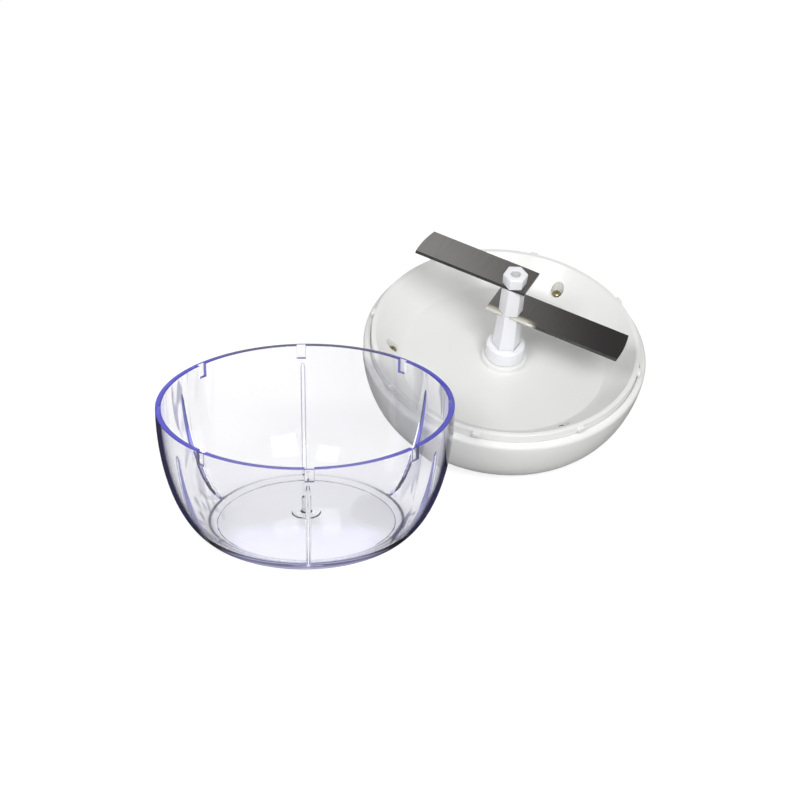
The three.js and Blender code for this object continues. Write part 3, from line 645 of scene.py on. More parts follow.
@cache
def pale_edge_group() -> Tree:
    """A mask of sharp outer edges, broken up by noise.

    Returns:
        The group, with the output Mask.
    """
    nodes = Nodes(bpy.data.node_groups.new("pale_edges", "ShaderNodeTree"))
    given = nodes.takes({"Vector": "Vector", "Sharpness": 0.53})
    edge = nodes.add("ShaderNodeNewGeometry").outputs["Pointiness"]
    inputs = {"Value": edge, "From Min": given["Sharpness"], "From Max": 0.62}
    found = nodes.fed("ShaderNodeMapRange", inputs).outputs["Result"]
    broken = nodes.rising(nodes.noise(given["Vector"], 420.0, 2.0), (0.35, 0.65))
    return nodes.gives("Float", {"Mask": nodes.product(found, broken)})


class Shader(Nodes):
    """The nodes of one material, with its Principled shader and its coordinates."""

    def __init__(self, name: str, by: Coordinates = Coordinates.MODEL) -> None:
        """Makes the material.

        Args:
            name: The material's name.
            by: What its pattern is measured by.
        """
        self.material = bpy.data.materials.new(name)
        self.material.use_nodes = True
        super().__init__(self.material.node_tree)
        self.tree.nodes.clear()
        self.output = self.add("ShaderNodeOutputMaterial")
        self.main = self.add("ShaderNodeBsdfPrincipled")
        self.put(self.output.inputs["Surface"], self.main.outputs[0])
        if by is Coordinates.MODEL:
            self.place = self.add("ShaderNodeTexCoord").outputs["Object"]
        else:
            self.place = self.add("ShaderNodeAttribute", attribute_name=PLACE).outputs["Vector"]

    def fill(self, node: bpy.types.Node, values: dict[str, object]) -> bpy.types.Node:
        """Fills a node's inputs, named with underscores, and returns the node."""
        for name, value in values.items():
            self.put(node.inputs[name.replace("_", " ")], value)
        return node

    def set(self, **values: object) -> None:
        """Sets plain values or sockets on the Principled shader, named with underscores."""
        self.fill(self.main, values)

    def effect(self, group: Tree, **values: object) -> bpy.types.NodeOutputs:
        """Places a shared effect.

        Args:
            group: The effect.
            **values: Its inputs, named with underscores.

        Returns:
            The effect's outputs.
        """
        node = self.add("ShaderNodeGroup", node_tree=group)
        return self.fill(node, {"Vector": self.place, **values}).outputs

    def mottle(self, scale: float, low: float, high: float) -> Socket:
        """A cloudy value between two limits."""
        return self.effect(mottle_group(), Scale=scale, Low=low, High=high)["Value"]

    def mix(self, share: object, first: object, second: object) -> Socket:
        """A mix of two colours by a share."""
        inputs = {"Factor": share, 6: first, 7: second}
        return self.fed("ShaderNodeMix", inputs, data_type="RGBA").outputs[2]

    def bump(self, height: object, strength: float, distance: float) -> Socket:
        """The normal that a height gives."""
        inputs = {"Height": height, "Strength": strength, "Distance": distance}
        return self.fed("ShaderNodeBump", inputs).outputs["Normal"]


# Finishes


class BowlShader(Shader):
    """The nodes of the bowl's material, with each spot's place round the bowl's axis."""

    def __init__(self, name: str, rim_radius: float) -> None:
        """Makes the material.

        Args:
            name: The material's name.
            rim_radius: The radius of the bowl's rim, in millimetres.
        """
        super().__init__(name)
        spot = self.parts(self.place)
        self.x, self.y, self.z = (spot[axis] for axis in "XYZ")
        squares = [self.math("POWER", along, 2.0) for along in (self.x, self.y)]
        self.radius = self.math("SQRT", self.math("ADD", *squares))
        self.side = self.math("DIVIDE", self.math("ABSOLUTE", self.x), rim_radius * MM)
        self.edge = self.add("ShaderNodeLayerWeight").outputs["Facing"]


@dataclass(frozen=True)
class ClearPlastic:
    """See-through plastic with a painted violet glow at its edges, and painted dark shade where
    one looks along its wall.

    A range is where a mask begins and ends. Heights, places and radii are in millimetres, and
    sides are shares of the rim's radius, from the bowl's middle to its left and right.
    """

    name: str = "clear_plastic"
    clear: Colour = (0.95, 0.95, 0.965, 1)
    floor_clear: Colour = (0.87, 0.87, 0.89, 1)
    lavender: Colour = (0.50, 0.49, 0.84, 1)
    # painted shade of the rim's sides
    rim_side_shade: Colour = (0.035, 0.028, 0.11, 1)
    # painted shade along the wall's waves
    streak_shade: Colour = (0.13, 0.12, 0.25, 1)
    # painted shade of the wall's dark outline
    shadow: Colour = (0.0006, 0.0004, 0.008, 1)
    # painted shade where the floor meets the wall
    crease_shade: Colour = (0.004, 0.0035, 0.03, 1)
    # painted shade on the ribs' sides and the notches' floors, seen edge on
    outline: Colour = (0.06, 0.055, 0.16, 1)
    # painted glow of the rim's sides, which stands for light carried along the wall
    deep_violet_glow: Colour = (0.0, 0.0, 0.27, 1)
    light_violet_glow: Colour = (0.03, 0.022, 0.55, 1)
    # painted shade lines on the rim, and painted glow on the ribs
    painted_violet: Colour = (0.17, 0.17, 0.48, 1)
    fin_body: Colour = (0.12, 0.12, 0.40, 1)
    # painted glow above the foot
    foot_glow: Colour = (0.11, 0.11, 0.17, 1)
    # painted glow along the rim at the back and front, weaker on its painted shade lines
    back_glow: Colour = (0.05, 0.05, 0.10, 1)
    back_line_glow: Colour = (0.01, 0.01, 0.05, 1)
    front_glow: Colour = (0.10, 0.09, 0.38, 1)
    # painted glow on the notches' floors
    notch_glow: Colour = (0.10, 0.09, 0.24, 1)
    tint: Colour = (0.45, 0.43, 0.85, 1)
    tint_density: float = 2.5
    index: float = 1.5
    cloud_scale: float = 9.0
    cloud_share: float = 0.03
    wave_scale: float = 26.0
    wave_strength: float = 0.09
    wave_depth: float = 0.0012
    rim_height: float = 74.7
    rim_radius: float = 82.5
    rim_wall: float = 3.2
    rim_top: Range = (-0.4, -0.1)
    rim_front: Range = (-40.0, 0.0)
    rim_sides: Range = (0.35, 0.85)
    # painted shade lines along the rim's inner and outer edges, and painted shade towards the
    # right
    inner_line: Range = (0.5, 1.5)
    outer_line: Range = (-0.9, -0.2)
    outer_line_share: float = 0.7
    right_shade: Range = (-0.3, 0.9)
    right_shade_share: float = 0.55
    notch_height: float = 8.0
    notch_floor: Range = (-2.0, 0.0)
    floor_radius: float = 53.5
    floor_height: float = 5.5
    crease_radius: float = 53.9
    crease_width: Range = (0.3, 1.5)
    crease_depth: Range = (0.5, 1.8)
    crease_sides: Range = (0.25, 0.6)
    crease_share: float = 0.25
    wall_start: Range = (1.0, 7.0)
    foot_low: Range = (0.1, 0.6)
    foot_high: Range = (3.5, 11.0)
    foot_front: Range = (-20.0, -5.0)
    foot_sides: Range = (0.35, 0.62)
    streak_shape: tuple[float, float, float] = (75.0, 75.0, 15.0)
    streak_swing: float = 0.8
    streak_lines: Range = (0.55, 0.61)
    streak_share: float = 0.9
    streak_turns: Range = (0.30, 0.55)
    streak_sides: Range = (0.4, 0.6)
    dark_turns: Range = (0.62, 0.77)
    dark_heights: Range = (8.0, 24.0)
    dark_sides: Range = (0.45, 0.7)
    fin_turns: Range = (0.45, 0.9)
    fin_heights: Range = (20.0, 42.0)
    fin_foot_share: float = 0.1
    fin_sides: Range = (0.1, 0.3)
    fin_back: Range = (-30.0, 0.0)
    fin_front_share: float = 0.15
    level_turns: Range = (0.8, 0.95)
    outward_turns: Range = (-0.2, 0.2)

    def turned_away(self, shader: BowlShader) -> tuple[Socket, Socket, Socket]:
        """How a face turns.

        Args:
            shader: The material's nodes.

        Returns:
            Masks of faces that look round the bowl, as the ribs' sides do, up or down, as the
            notches' floors do, and outwards.
        """
        facing = shader.add("ShaderNodeTexCoord").outputs["Normal"]
        round_axis = shader.vector(shader.product(shader.y, -1.0), shader.x)
        turned = shader.math("DIVIDE", shader.dot(round_axis, facing), shader.radius)
        upward = shader.math("ABSOLUTE", shader.parts(facing)["Z"])
        away = shader.vector(shader.x, shader.y)
        faced = shader.math("DIVIDE", shader.dot(away, facing), shader.radius)
        return (
            shader.rising(shader.math("ABSOLUTE", turned), self.fin_turns),
            shader.rising(upward, self.level_turns),
            shader.rising(faced, self.outward_turns),
        )

    def floor_ring(self, shader: BowlShader) -> Socket:
        """The mask of the painted shade where the bowl's floor meets its wall.

        Args:
            shader: The material's nodes.

        Returns:
            A mask from 0 to 1.
        """
        masks = []
        for value, middle, reach in (
            (shader.radius, self.crease_radius, self.crease_width),
            (shader.z, self.floor_height, self.crease_depth),
        ):
            off = shader.math("ABSOLUTE", shader.math("SUBTRACT", value, middle * MM))
            masks.append(shader.falling(off, reach, MM))
        sides = shader.span(shader.side, self.crease_sides, (self.crease_share, 1.0))
        return shader.product(*masks, sides)

    def foot_light(self, shader: BowlShader) -> Socket:
        """The mask of the painted glow on the curve above the foot, at the front, which stands for
        light gathering in the wall.

        Args:
            shader: The material's nodes.

        Returns:
            A mask from 0 to 1.
        """
        return shader.product(
            shader.rising(shader.z, self.foot_low, MM),
            shader.falling(shader.z, self.foot_high, MM),
            shader.falling(shader.y, self.foot_front, MM),
            shader.falling(shader.side, self.foot_sides),
        )

    def streaks(self, shader: BowlShader, on_wall: Socket) -> Socket:
        """The mask of painted shade along upright waves in the wall, strongest where the wall
        turns away from the view.

        Args:
            shader: The material's nodes.
            on_wall: The mask of the wall, without the floor.

        Returns:
            A mask from 0 to 1.
        """
        flank = shader.product(on_wall, shader.rising(shader.side, self.streak_sides))
        drawn = shader.scaled(shader.place, self.streak_shape)
        noise = shader.noise(drawn, 1.0, 2.0, Distortion=self.streak_swing)
        lines = shader.span(noise, self.streak_lines, (0.0, self.streak_share))
        turned = shader.rising(shader.edge, self.streak_turns)
        return shader.product(lines, shader.product(turned, flank))

    def rim(self, shader: BowlShader) -> tuple[Socket, Socket]:
        """The rim's colours, pale with painted shade lines at the front and back and dark at the
        sides, and its painted glow, violet at the sides, which stands for light carried along the
        wall.

        Args:
            shader: The material's nodes.

        Returns:
            Its colour and its painted glow.
        """
        # Painted shade lines along the rim's inner and outer edges, and painted shade towards the
        # right.
        inner = shader.math("SUBTRACT", shader.radius, (self.rim_radius - self.rim_wall) * MM)
        outer = shader.math("SUBTRACT", shader.radius, self.rim_radius * MM)
        outside = shader.product(shader.rising(outer, self.outer_line, MM), self.outer_line_share)
        lines = shader.math("MAXIMUM", shader.falling(inner, self.inner_line, MM), outside)
        right = shader.rising(shader.x, self.right_shade, self.rim_radius * MM)
        dark = shader.math("MAXIMUM", lines, shader.product(right, self.right_shade_share))
        # Painted glow: violet at the sides, faint at the front and back.
        violet = shader.mix(dark, self.light_violet_glow, self.deep_violet_glow)
        pale = shader.mix(lines, self.lavender, self.painted_violet)
        back = shader.mix(lines, self.back_glow, self.back_line_glow)
        thin = shader.mix(shader.falling(shader.y, self.rim_front, MM), back, self.front_glow)
        bands = shader.rising(shader.side, self.rim_sides)
        return shader.mix(bands, pale, self.rim_side_shade), shader.mix(bands, thin, violet)

    def silhouette(self, shader: BowlShader, outward: Socket) -> Socket:
        """The mask of the wall's dark outline, a painted shade where the wall turns away from the
        view.

        Args:
            shader: The material's nodes.
            outward: The mask of faces that look outwards.

        Returns:
            A mask from 0 to 1.
        """
        high = shader.rising(shader.z, self.dark_heights, MM)
        above = shader.math("MAXIMUM", high, shader.rising(shader.side, self.dark_sides))
        turned = shader.rising(shader.edge, self.dark_turns)
        return shader.product(turned, shader.product(above, outward))

    def material(self) -> bpy.types.Material:
        """Builds the material, with painted glow and painted shade on its rim, ribs and notches,
        and its painted dark outline.
        """
        shader = BowlShader(self.name, self.rim_radius)
        fins, level, outward = self.turned_away(shader)
        below_rim = shader.math("SUBTRACT", shader.z, self.rim_height * MM)
        rim = shader.rising(below_rim, self.rim_top, MM)
        over_notch = shader.math("ADD", below_rim, self.notch_height * MM)
        ledges = shader.product(level, shader.rising(over_notch, self.notch_floor, MM))
        off_floor = shader.math("SUBTRACT", shader.radius, self.floor_radius * MM)
        on_wall = shader.rising(off_floor, self.wall_start, MM)
        wide = shader.rising(shader.side, self.fin_sides)
        heights = tuple(height * MM for height in self.fin_heights)
        upper = shader.span(shader.z, heights, (self.fin_foot_share, 1.0))
        # Painted shade on the ribs' sides towards the left and right, where they are seen edge on.
        fin = shader.mix(wide, self.outline, shader.mix(upper, self.lavender, self.fin_body))
        clouds = shader.mottle(self.cloud_scale, 0.0, self.cloud_share)
        body = shader.mix(on_wall, self.floor_clear, shader.mix(clouds, self.clear, self.lavender))
        # Painted shade: streaks along the wall's waves, where the floor meets the wall, the wall's
        # outline, the ribs' sides and the notches' floors.
        for mask, colour in (
            (self.streaks(shader, on_wall), self.streak_shade),
            (self.floor_ring(shader), self.crease_shade),
            (self.silhouette(shader, outward), self.shadow),
            (fins, fin),
            # painted shade on the notches' floors
            (ledges, self.outline),
        ):
            body = shader.mix(mask, body, colour)
        # Painted glow on the ribs' wide sides towards the back, higher up.
        places = tuple(place * MM for place in self.fin_back)
        behind = shader.span(shader.y, places, (self.fin_front_share, 1.0))
        lit_fins = shader.product(fins, wide, shader.product(behind, upper))
        # Painted glow, which stands for light carried in the wall: above the foot, on the ribs
        # behind and on the notches' floors.
        glow: object = BLACK
        for mask, colour in (
            (self.foot_light(shader), self.foot_glow),
            (lit_fins, self.painted_violet),
            (ledges, self.notch_glow),
        ):
            glow = shader.mix(mask, glow, colour)
        rim_colour, rim_glow = self.rim(shader)
        waves = shader.effect(
            grain_group(), Grain_Scale=900.0, Wave_Scale=self.wave_scale, Wave_Share=0.97,
        )
        height = shader.product(waves["Height"], on_wall)
        shader.set(
            Base_Color=shader.mix(rim, body, rim_colour),
            Roughness=0.0,
            IOR=self.index,
            Transmission_Weight=1.0,
            Emission_Color=shader.mix(rim, glow, rim_glow),
            Emission_Strength=1.0,
            Normal=shader.bump(height, self.wave_strength, self.wave_depth),
        )
        inside = {"Color": self.tint, "Density": self.tint_density}
        volume = shader.fed("ShaderNodeVolumeAbsorption", inside)
        shader.put(shader.output.inputs["Volume"], volume.outputs[0])
        return shader.material


@dataclass(frozen=True)
class MouldedPlastic:
    """Opaque or slightly milky moulded plastic."""

    name: str
    base: Colour
    shade: Colour
    pale_edge: Colour
    gloss: float = 0.3
    gloss_spread: float = 0.012
    milky: float = 0.0
    coat: float = 0.0
    coat_gloss: float = 0.12
    grain: float = 0.12
    grain_depth: float = 0.00006
    cloud_scale: float = 14.0
    gloss_scale: float = 45.0
    pale_edge_share: float = 0.5
    milk_depth: float = 0.003
    milk_reach: tuple[float, float, float] = (1.0, 0.95, 1.1)
    index: float = 1.5
    by: Coordinates = Coordinates.PIECE

    def material(self) -> bpy.types.Material:
        """Builds the material, with its grain, its slight clouds and its paler outer edges."""
        shader = Shader(self.name, self.by)
        body = shader.mix(shader.mottle(self.cloud_scale, 0.0, 1.0), self.base, self.shade)
        edges = shader.effect(pale_edge_group(), Sharpness=0.53)["Mask"]
        low, high = self.gloss - self.gloss_spread, self.gloss + self.gloss_spread
        skin = shader.effect(grain_group(), Grain_Scale=2600.0, Wave_Scale=40.0, Wave_Share=0.1)
        shader.set(
            Base_Color=shader.mix(shader.product(edges, self.pale_edge_share), body, self.pale_edge),
            Roughness=shader.mottle(self.gloss_scale, low, high),
            IOR=self.index,
            Coat_Weight=self.coat,
            Coat_Roughness=self.coat_gloss,
            Subsurface_Weight=self.milky,
            Subsurface_Radius=self.milk_reach,
            Subsurface_Scale=self.milk_depth,
            Normal=shader.bump(skin["Height"], self.grain, self.grain_depth),
        )
        return shader.material


@dataclass(frozen=True)
class RolledSteel:
    """Sheet or bar steel with the lines of a grinding belt across it.

    Steel with a shade range gets a painted shade, darker across the model between two places along
    X in millimetres, and has ground edges with painted shade and a painted reflection of the
    tower, as the blades do.
    """

    name: str
    dark: Colour
    light: Colour
    gloss: float = 0.3
    line_density: float = 1800.0
    line_length: float = 40.0
    by: Coordinates = Coordinates.PIECE
    # painted shade across the model, along X
    shade_range: Range | None = None
    shaded_steel: Colour = (0.05, 0.047, 0.046, 1)
    # painted shade on the ground edges
    ground: Colour = (0.018, 0.018, 0.018, 1)
    # painted reflection of the tower on the lower blade
    painted_tower_reflection: Colour = (0.50, 0.49, 0.42, 1)
    sloped_from: Range = (0.5, 0.7)
    sloped_to: Range = (0.92, 0.97)
    lit_reach: Range = (11.0, 19.0)
    lit_height: Range = (30.0, 34.0)
    lit_edge: Range = (-3.6, -0.4)
    fine_range: Range = (0.3, 0.7)
    band_range: Range = (0.35, 0.65)
    band_share: float = 0.15
    line_gloss: float = 0.06
    smear_scale: float = 55.0
    smears: Range = (-0.04, 0.05)
    line_strength: float = 0.15
    line_depth: float = 0.00015

    def ground_edge(self, shader: Shader, body: Socket) -> tuple[Socket, Socket]:
        """Paints shade on the ground edges, and a painted reflection of the tower on a part of the
        lower blade next to it.

        Args:
            shader: The material's nodes.
            body: The colour of the flat steel.

        Returns:
            The colour, and the mask of the painted reflection.
        """
        upward = shader.dot(shader.add("ShaderNodeTexCoord").outputs["Normal"], LID_UP)
        sloped = shader.product(
            shader.rising(upward, self.sloped_from),
            shader.falling(upward, self.sloped_to),
        )
        spot = shader.parts(shader.place)
        # Painted reflection of the tower on the lower blade's near edge.
        bright = shader.product(
            shader.falling(shader.math("ABSOLUTE", spot["X"]), self.lit_reach, MM),
            shader.falling(spot["Z"], self.lit_height, MM),
            shader.falling(spot["Y"], self.lit_edge, MM),
        )
        # Painted shade on the ground edges, but for the painted reflection beside the tower.
        dark = shader.product(sloped, shader.math("SUBTRACT", 1.0, bright))
        return shader.mix(bright, shader.mix(dark, body, self.ground), self.painted_tower_reflection), bright

    def material(self) -> bpy.types.Material:
        """Builds the material, with fine lines, wider bands and a few smears."""
        shader = Shader(self.name, self.by)
        sizes = {"Line_Density": self.line_density, "Line_Length": self.line_length}
        lines = shader.effect(brushing_group(), **sizes)
        fine = shader.product(shader.rising(lines["Lines"], self.fine_range), 1 - self.band_share)
        bands = shader.product(shader.rising(lines["Bands"], self.band_range), self.band_share)
        tone = shader.math("ADD", fine, bands)
        rough = shader.math("ADD", shader.product(tone, self.line_gloss), self.gloss)
        body = shader.mix(tone, self.dark, self.light)
        metal: object = 1.0
        # Painted shade: the steel darkens along X.
        if self.shade_range:
            across = shader.parts(shader.add("ShaderNodeTexCoord").outputs["Object"])["X"]
            shaded_across = shader.mix(shader.rising(across, self.shade_range, MM), body, self.shaded_steel)
            body, bright = self.ground_edge(shader, shaded_across)
            # The painted reflection is not metallic.
            metal = shader.math("SUBTRACT", 1.0, bright)
        shader.set(
            Base_Color=body,
            Metallic=metal,
            Roughness=shader.math("ADD", rough, shader.mottle(self.smear_scale, *self.smears)),
            Normal=shader.bump(lines["Lines"], self.line_strength, self.line_depth),
        )
        return shader.material


@dataclass(frozen=True)
class Plating:
    """Thin bright plating on a screw, dulled here and there."""

    name: str = "brass_screw"
    bright: Colour = (0.50, 0.43, 0.26, 1)
    dull: Colour = (0.27, 0.24, 0.15, 1)
    gloss: Range = (0.22, 0.42)
    gloss_scale: float = 900.0
    blotch_scale: float = 700.0
    grain: float = 0.2
    grain_depth: float = 0.0001
    by: Coordinates = Coordinates.PIECE

    def material(self) -> bpy.types.Material:
        """Builds the material, with blotches of duller plating."""
        shader = Shader(self.name, self.by)
        blotch = shader.mottle(self.blotch_scale, 0.0, 1.0)
        skin = shader.effect(grain_group(), Grain_Scale=5200.0, Wave_Scale=900.0, Wave_Share=0.4)
        shader.set(
            Base_Color=shader.mix(blotch, self.bright, self.dull),
            Metallic=1.0,
            Roughness=shader.mottle(self.gloss_scale, *self.gloss),
            Normal=shader.bump(skin["Height"], self.grain, self.grain_depth),
        )
        return shader.material


class Finish(Enum):
    """The finishes of the chopper."""

    CLEAR = ClearPlastic()
    WHITE = MouldedPlastic(
        "white_plastic",
        base=(0.815, 0.82, 0.80, 1),
        shade=(0.805, 0.81, 0.79, 1),
        pale_edge=(0.86, 0.86, 0.85, 1),
        coat=0.15,
    )
    TOWER = MouldedPlastic(
        "tower_plastic",
        base=(0.88, 0.88, 0.915, 1),
        shade=(0.85, 0.85, 0.89, 1),
        pale_edge=(0.91, 0.91, 0.94, 1),
        gloss=0.26,
        milky=0.2,
    )
    GEARS = MouldedPlastic(
        "gear_plastic",
        base=(0.69, 0.69, 0.64, 1),
        shade=(0.62, 0.62, 0.58, 1),
        pale_edge=(0.74, 0.74, 0.70, 1),
        gloss=0.45,
        grain=0.25,
        by=Coordinates.MODEL,
    )
    BUSHES = MouldedPlastic(
        "bush_plastic",
        base=(0.58, 0.55, 0.46, 1),
        shade=(0.52, 0.49, 0.41, 1),
        pale_edge=(0.63, 0.60, 0.52, 1),
        gloss=0.42,
        grain=0.2,
        by=Coordinates.MODEL,
    )
    STEEL = RolledSteel(
        "steel",
        dark=(0.30, 0.30, 0.29, 1),
        light=(0.42, 0.42, 0.41, 1),
        gloss=0.28,
        line_density=900.0,
        line_length=120.0,
        by=Coordinates.MODEL,
    )
    BLADES = RolledSteel(
        "blade_steel",
        dark=(0.33, 0.325, 0.315, 1),
        light=(0.385, 0.375, 0.36, 1),
        # painted shade along X
        shade_range=(58.0, 178.0),
    )
    PLATED = Plating()

    @property
    def material(self) -> bpy.types.Material:
        """The finish's material, which is made once."""
        return made_finish(self)

    @property
    def slot(self) -> str:
        """The finish's name."""
        return self.value.name


@cache
def made_finish(finish: Finish) -> bpy.types.Material:
    """Makes a finish's material the first time that it is asked for."""
    return finish.value.material()


# Placing finished pieces


def finished(
    mesh: Mesh, name: str, body: str, nodes: Sequence[str], finish: Finish, matrix: Matrix,
) -> bpy.types.Object:
    """Turns a mesh into a finished piece of the object.

    Args:
        mesh: The mesh, in millimetres, in its sub-assembly's frame.
        name: The piece's name.
        body: The body that it moves with.
        nodes: The model's nodes that it stands for.
        finish: Its finish.
        matrix: The place of its sub-assembly's frame, in millimetres.

    Returns:
        The piece.
    """
    own = [c * MM for vertex in mesh.vertices for c in vertex.co]
    for attribute in [a for a in mesh.attributes if a.name == PLACE]:
        mesh.attributes.remove(attribute)
    mesh.attributes.new(PLACE, "FLOAT_VECTOR", "POINT").data.foreach_set("vector", own)
    mesh.transform(Matrix.Scale(MM, 4) @ matrix)
    mesh.name = name
    mesh.materials.clear()
    mesh.materials.append(finish.material)
    mesh.polygons.foreach_set("material_index", [0] * len(mesh.polygons))
    mesh.shade_smooth()
    mesh.set_sharp_from_angle(angle=SMOOTH_BELOW)
    mesh.update()
    piece = bpy.data.objects.new(name, mesh)
    bpy.context.scene.collection.objects.link(piece)
    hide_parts(*nodes)
    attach(piece, body)
    LOG.info("%s: %d faces, rides on %s", name, len(mesh.polygons), body)
    return piece


@dataclass
class Bowl:
    """The clear bowl, upright on its foot."""

    rim_radius: float = 82.5
    height: float = 74.7
    foot_radius: float = 49.6
    rim_wall: float = 3.2
    floor_radius: float = 53.5
    floor_thickness: float = 5.5
    rim_rounding: float = 0.5
    foot_ring: float = 0.7
    foot_slope: float = 0.4
    notch_count: int = 8
    floor_rise: float = 4.0
    floor_steps: int = 12
    notch_angle: float = 3.0
    notch_width: float = 5.2
    notch_cut: float = 2.0
    notch_height: float = 8.0
    notch_rounding: float = 0.4
    rib_count: int = 6
    rib_angle: float = 32.4
    rib_width: float = 2.6
    rib_reach: float = 3.0
    rib_top_reach: float = 1.0
    rib_drop: float = 10.8
    rib_root: float = 0.8
    rib_lift: float = 0.1
    rib_swell: float = 1.8
    rib_end: tuple[float, float] = (0.3, 0.7)
    rib_steps: int = 22
    rib_nose_steps: int = 8
    pin_radius: float = 2.5
    pin_height: float = 10.5
    pin_ring_radius: float = 7.6
    pin_ring_height: float = 1.0
    pin_ring_edge: float = 0.6
    pin_root: float = 1.0
    pin_tip_radius: float = 1.6
    pin_tip_height: float = 1.2
    pin_rounding: float = 0.5
    sides: int = 192
    steps: int = 44

    @property
    def dome_reach(self) -> float:
        """How far in from the wall's foot the floor goes on rising."""
        return self.floor_radius - self.pin_ring_radius - self.pin_ring_edge

    def inner_radius(self, height: float) -> float:
        """The radius of the wall's inside at a height."""
        rise = (self.height - height) / (self.height - self.floor_thickness)
        reach = self.rim_radius - self.rim_wall - self.floor_radius
        return self.floor_radius + reach * math.sqrt(max(0.0, 1 - rise * rise))

    def wall(self, inside: bool) -> Mesh:
        """One side of the wall, from its foot to just below the rim.

        Args:
            inside: Whether it is the wall's inside.

        Returns:
            An open mesh.
        """
        last = math.degrees(QUARTER - self.rim_rounding / self.height)
        values = {
            "Foot Radius": self.floor_radius if inside else self.foot_radius,
            "Rim Radius": self.rim_radius - (self.rim_wall if inside else 0),
            "Foot Height": self.floor_thickness if inside else 0.0,
            "Rim Height": self.height,
            "Radius Power": 1.0,
            "Height Power": 1.0,
            "Crowding": 1.0,
            "Last Angle": last,
            "Sides": self.sides,
            "Steps": self.steps,
            "Inside": inside,
        }
        return grown(wall_tree(), values)

    def wall_end(self, inside: bool) -> tuple[float, float]:
        """The radius and height at which one side of the wall ends."""
        angle = QUARTER - self.rim_rounding / self.height
        foot = self.floor_radius if inside else self.foot_radius
        rim = self.rim_radius - (self.rim_wall if inside else 0)
        drop = self.height - (self.floor_thickness if inside else 0)
        return foot + (rim - foot) * math.sin(angle), self.height - drop * math.cos(angle)

    def rim(self) -> Mesh:
        """The rounded rim that joins the wall's two sides."""
        outside, inside = self.wall_end(False), self.wall_end(True)
        corners = [outside, (outside[0], self.height), (inside[0], self.height), inside]
        return lathe(rounded(corners, self.rim_rounding), self.sides)

    def underside(self) -> Outline:
        """The floor's underside, which follows its inside within the ring that it stands on."""
        start = self.foot_radius - self.foot_ring
        curve = []
        for i in range(self.floor_steps + 1):
            radius = start * i / self.floor_steps
            share = min(1.0, (self.floor_radius - radius) / self.dome_reach)
            curve.append((radius, self.floor_rise * math.sin(QUARTER * share)))
        return [*curve, (start + self.foot_slope, 0.0), (self.foot_radius, 0.0)]

    def floor(self) -> Mesh:
        """The gently domed floor's inside, with the pin that steadies the blades."""
        dome = []
        for i in range(self.floor_steps):
            share = i / self.floor_steps
            rise = self.floor_rise * math.sin(QUARTER * share)
            dome.append((self.floor_radius - self.dome_reach * share, self.floor_thickness + rise))
        top = self.floor_thickness + self.floor_rise
        corners = [
            (self.pin_ring_radius + self.pin_ring_edge, top),
            (self.pin_ring_radius, top + self.pin_ring_height / 2),
            (self.pin_radius + self.pin_root, top + self.pin_ring_height),
            (self.pin_radius, top + self.pin_ring_height + self.pin_ring_edge),
            (self.pin_radius, top + self.pin_height - self.pin_tip_height),
            (self.pin_tip_radius, top + self.pin_height),
            (0.0, top + self.pin_height),
        ]
        return lathe([*dome, *rounded(corners, self.pin_rounding)], self.sides)

    def ribs(self) -> Mesh:
        """The fins down the inside of the wall, which widen towards the floor."""
        top = self.height - self.rib_drop
        foot = self.floor_thickness + self.rib_lift
        steps = self.rib_nose_steps
        front = [QUARTER + math.pi * k / steps for k in range(steps + 1)]
        rings = []
        for i in range(self.rib_steps + 1):
            share = i / self.rib_steps
            height = foot + (top - foot) * share
            grown_share = min(1.0, self.rib_swell * (1 - share))
            reach = self.rib_top_reach + (self.rib_reach - self.rib_top_reach) * grown_share
            half = self.rib_width / 2
            if i == self.rib_steps:
                reach, half = self.rib_end
            wall = self.inner_radius(height)
            root, depth = wall + self.rib_root, min(reach, half)
            middle = wall - reach + depth
            nose = [(middle + depth * math.cos(a), half * math.sin(a)) for a in front]
            rings.append(ring_at([(root, -half), (root, half), *nose], height))
        return copies(loft(rings), self.rib_count, 0.0, self.rib_angle)

    def notches(self) -> Mesh:
        """The cutters for the notches that the lid's tabs drop into."""
        start = self.rim_radius - self.rim_wall
        flat = rectangle(start - OVERRUN, start + self.notch_cut, self.notch_width / 2)
        shape = rounded(flat, self.notch_rounding, CORNER_STEPS, closed=True)
        heights = (self.height - self.notch_height, self.height + OVERRUN)
        cutter = loft([ring_at(shape, height) for height in heights])
        return copies(cutter, self.notch_count, 0.0, self.notch_angle)

    def build(self) -> None:
        """Builds the bowl and puts it in its place."""
        base = lathe(self.underside(), self.sides)
        sides = [self.wall(False), self.rim(), self.wall(True)]
        shell = gathered([base, *sides, self.floor()], merge=WELD)
        ribbed = combined(shell, [self.ribs()], Join.ADD)
        whole = combined(ribbed, [self.notches()], Join.CUT)
        finished(whole, "clear_bowl", "bowl", ["bowl"], Finish.CLEAR, Matrix.Identity(4))


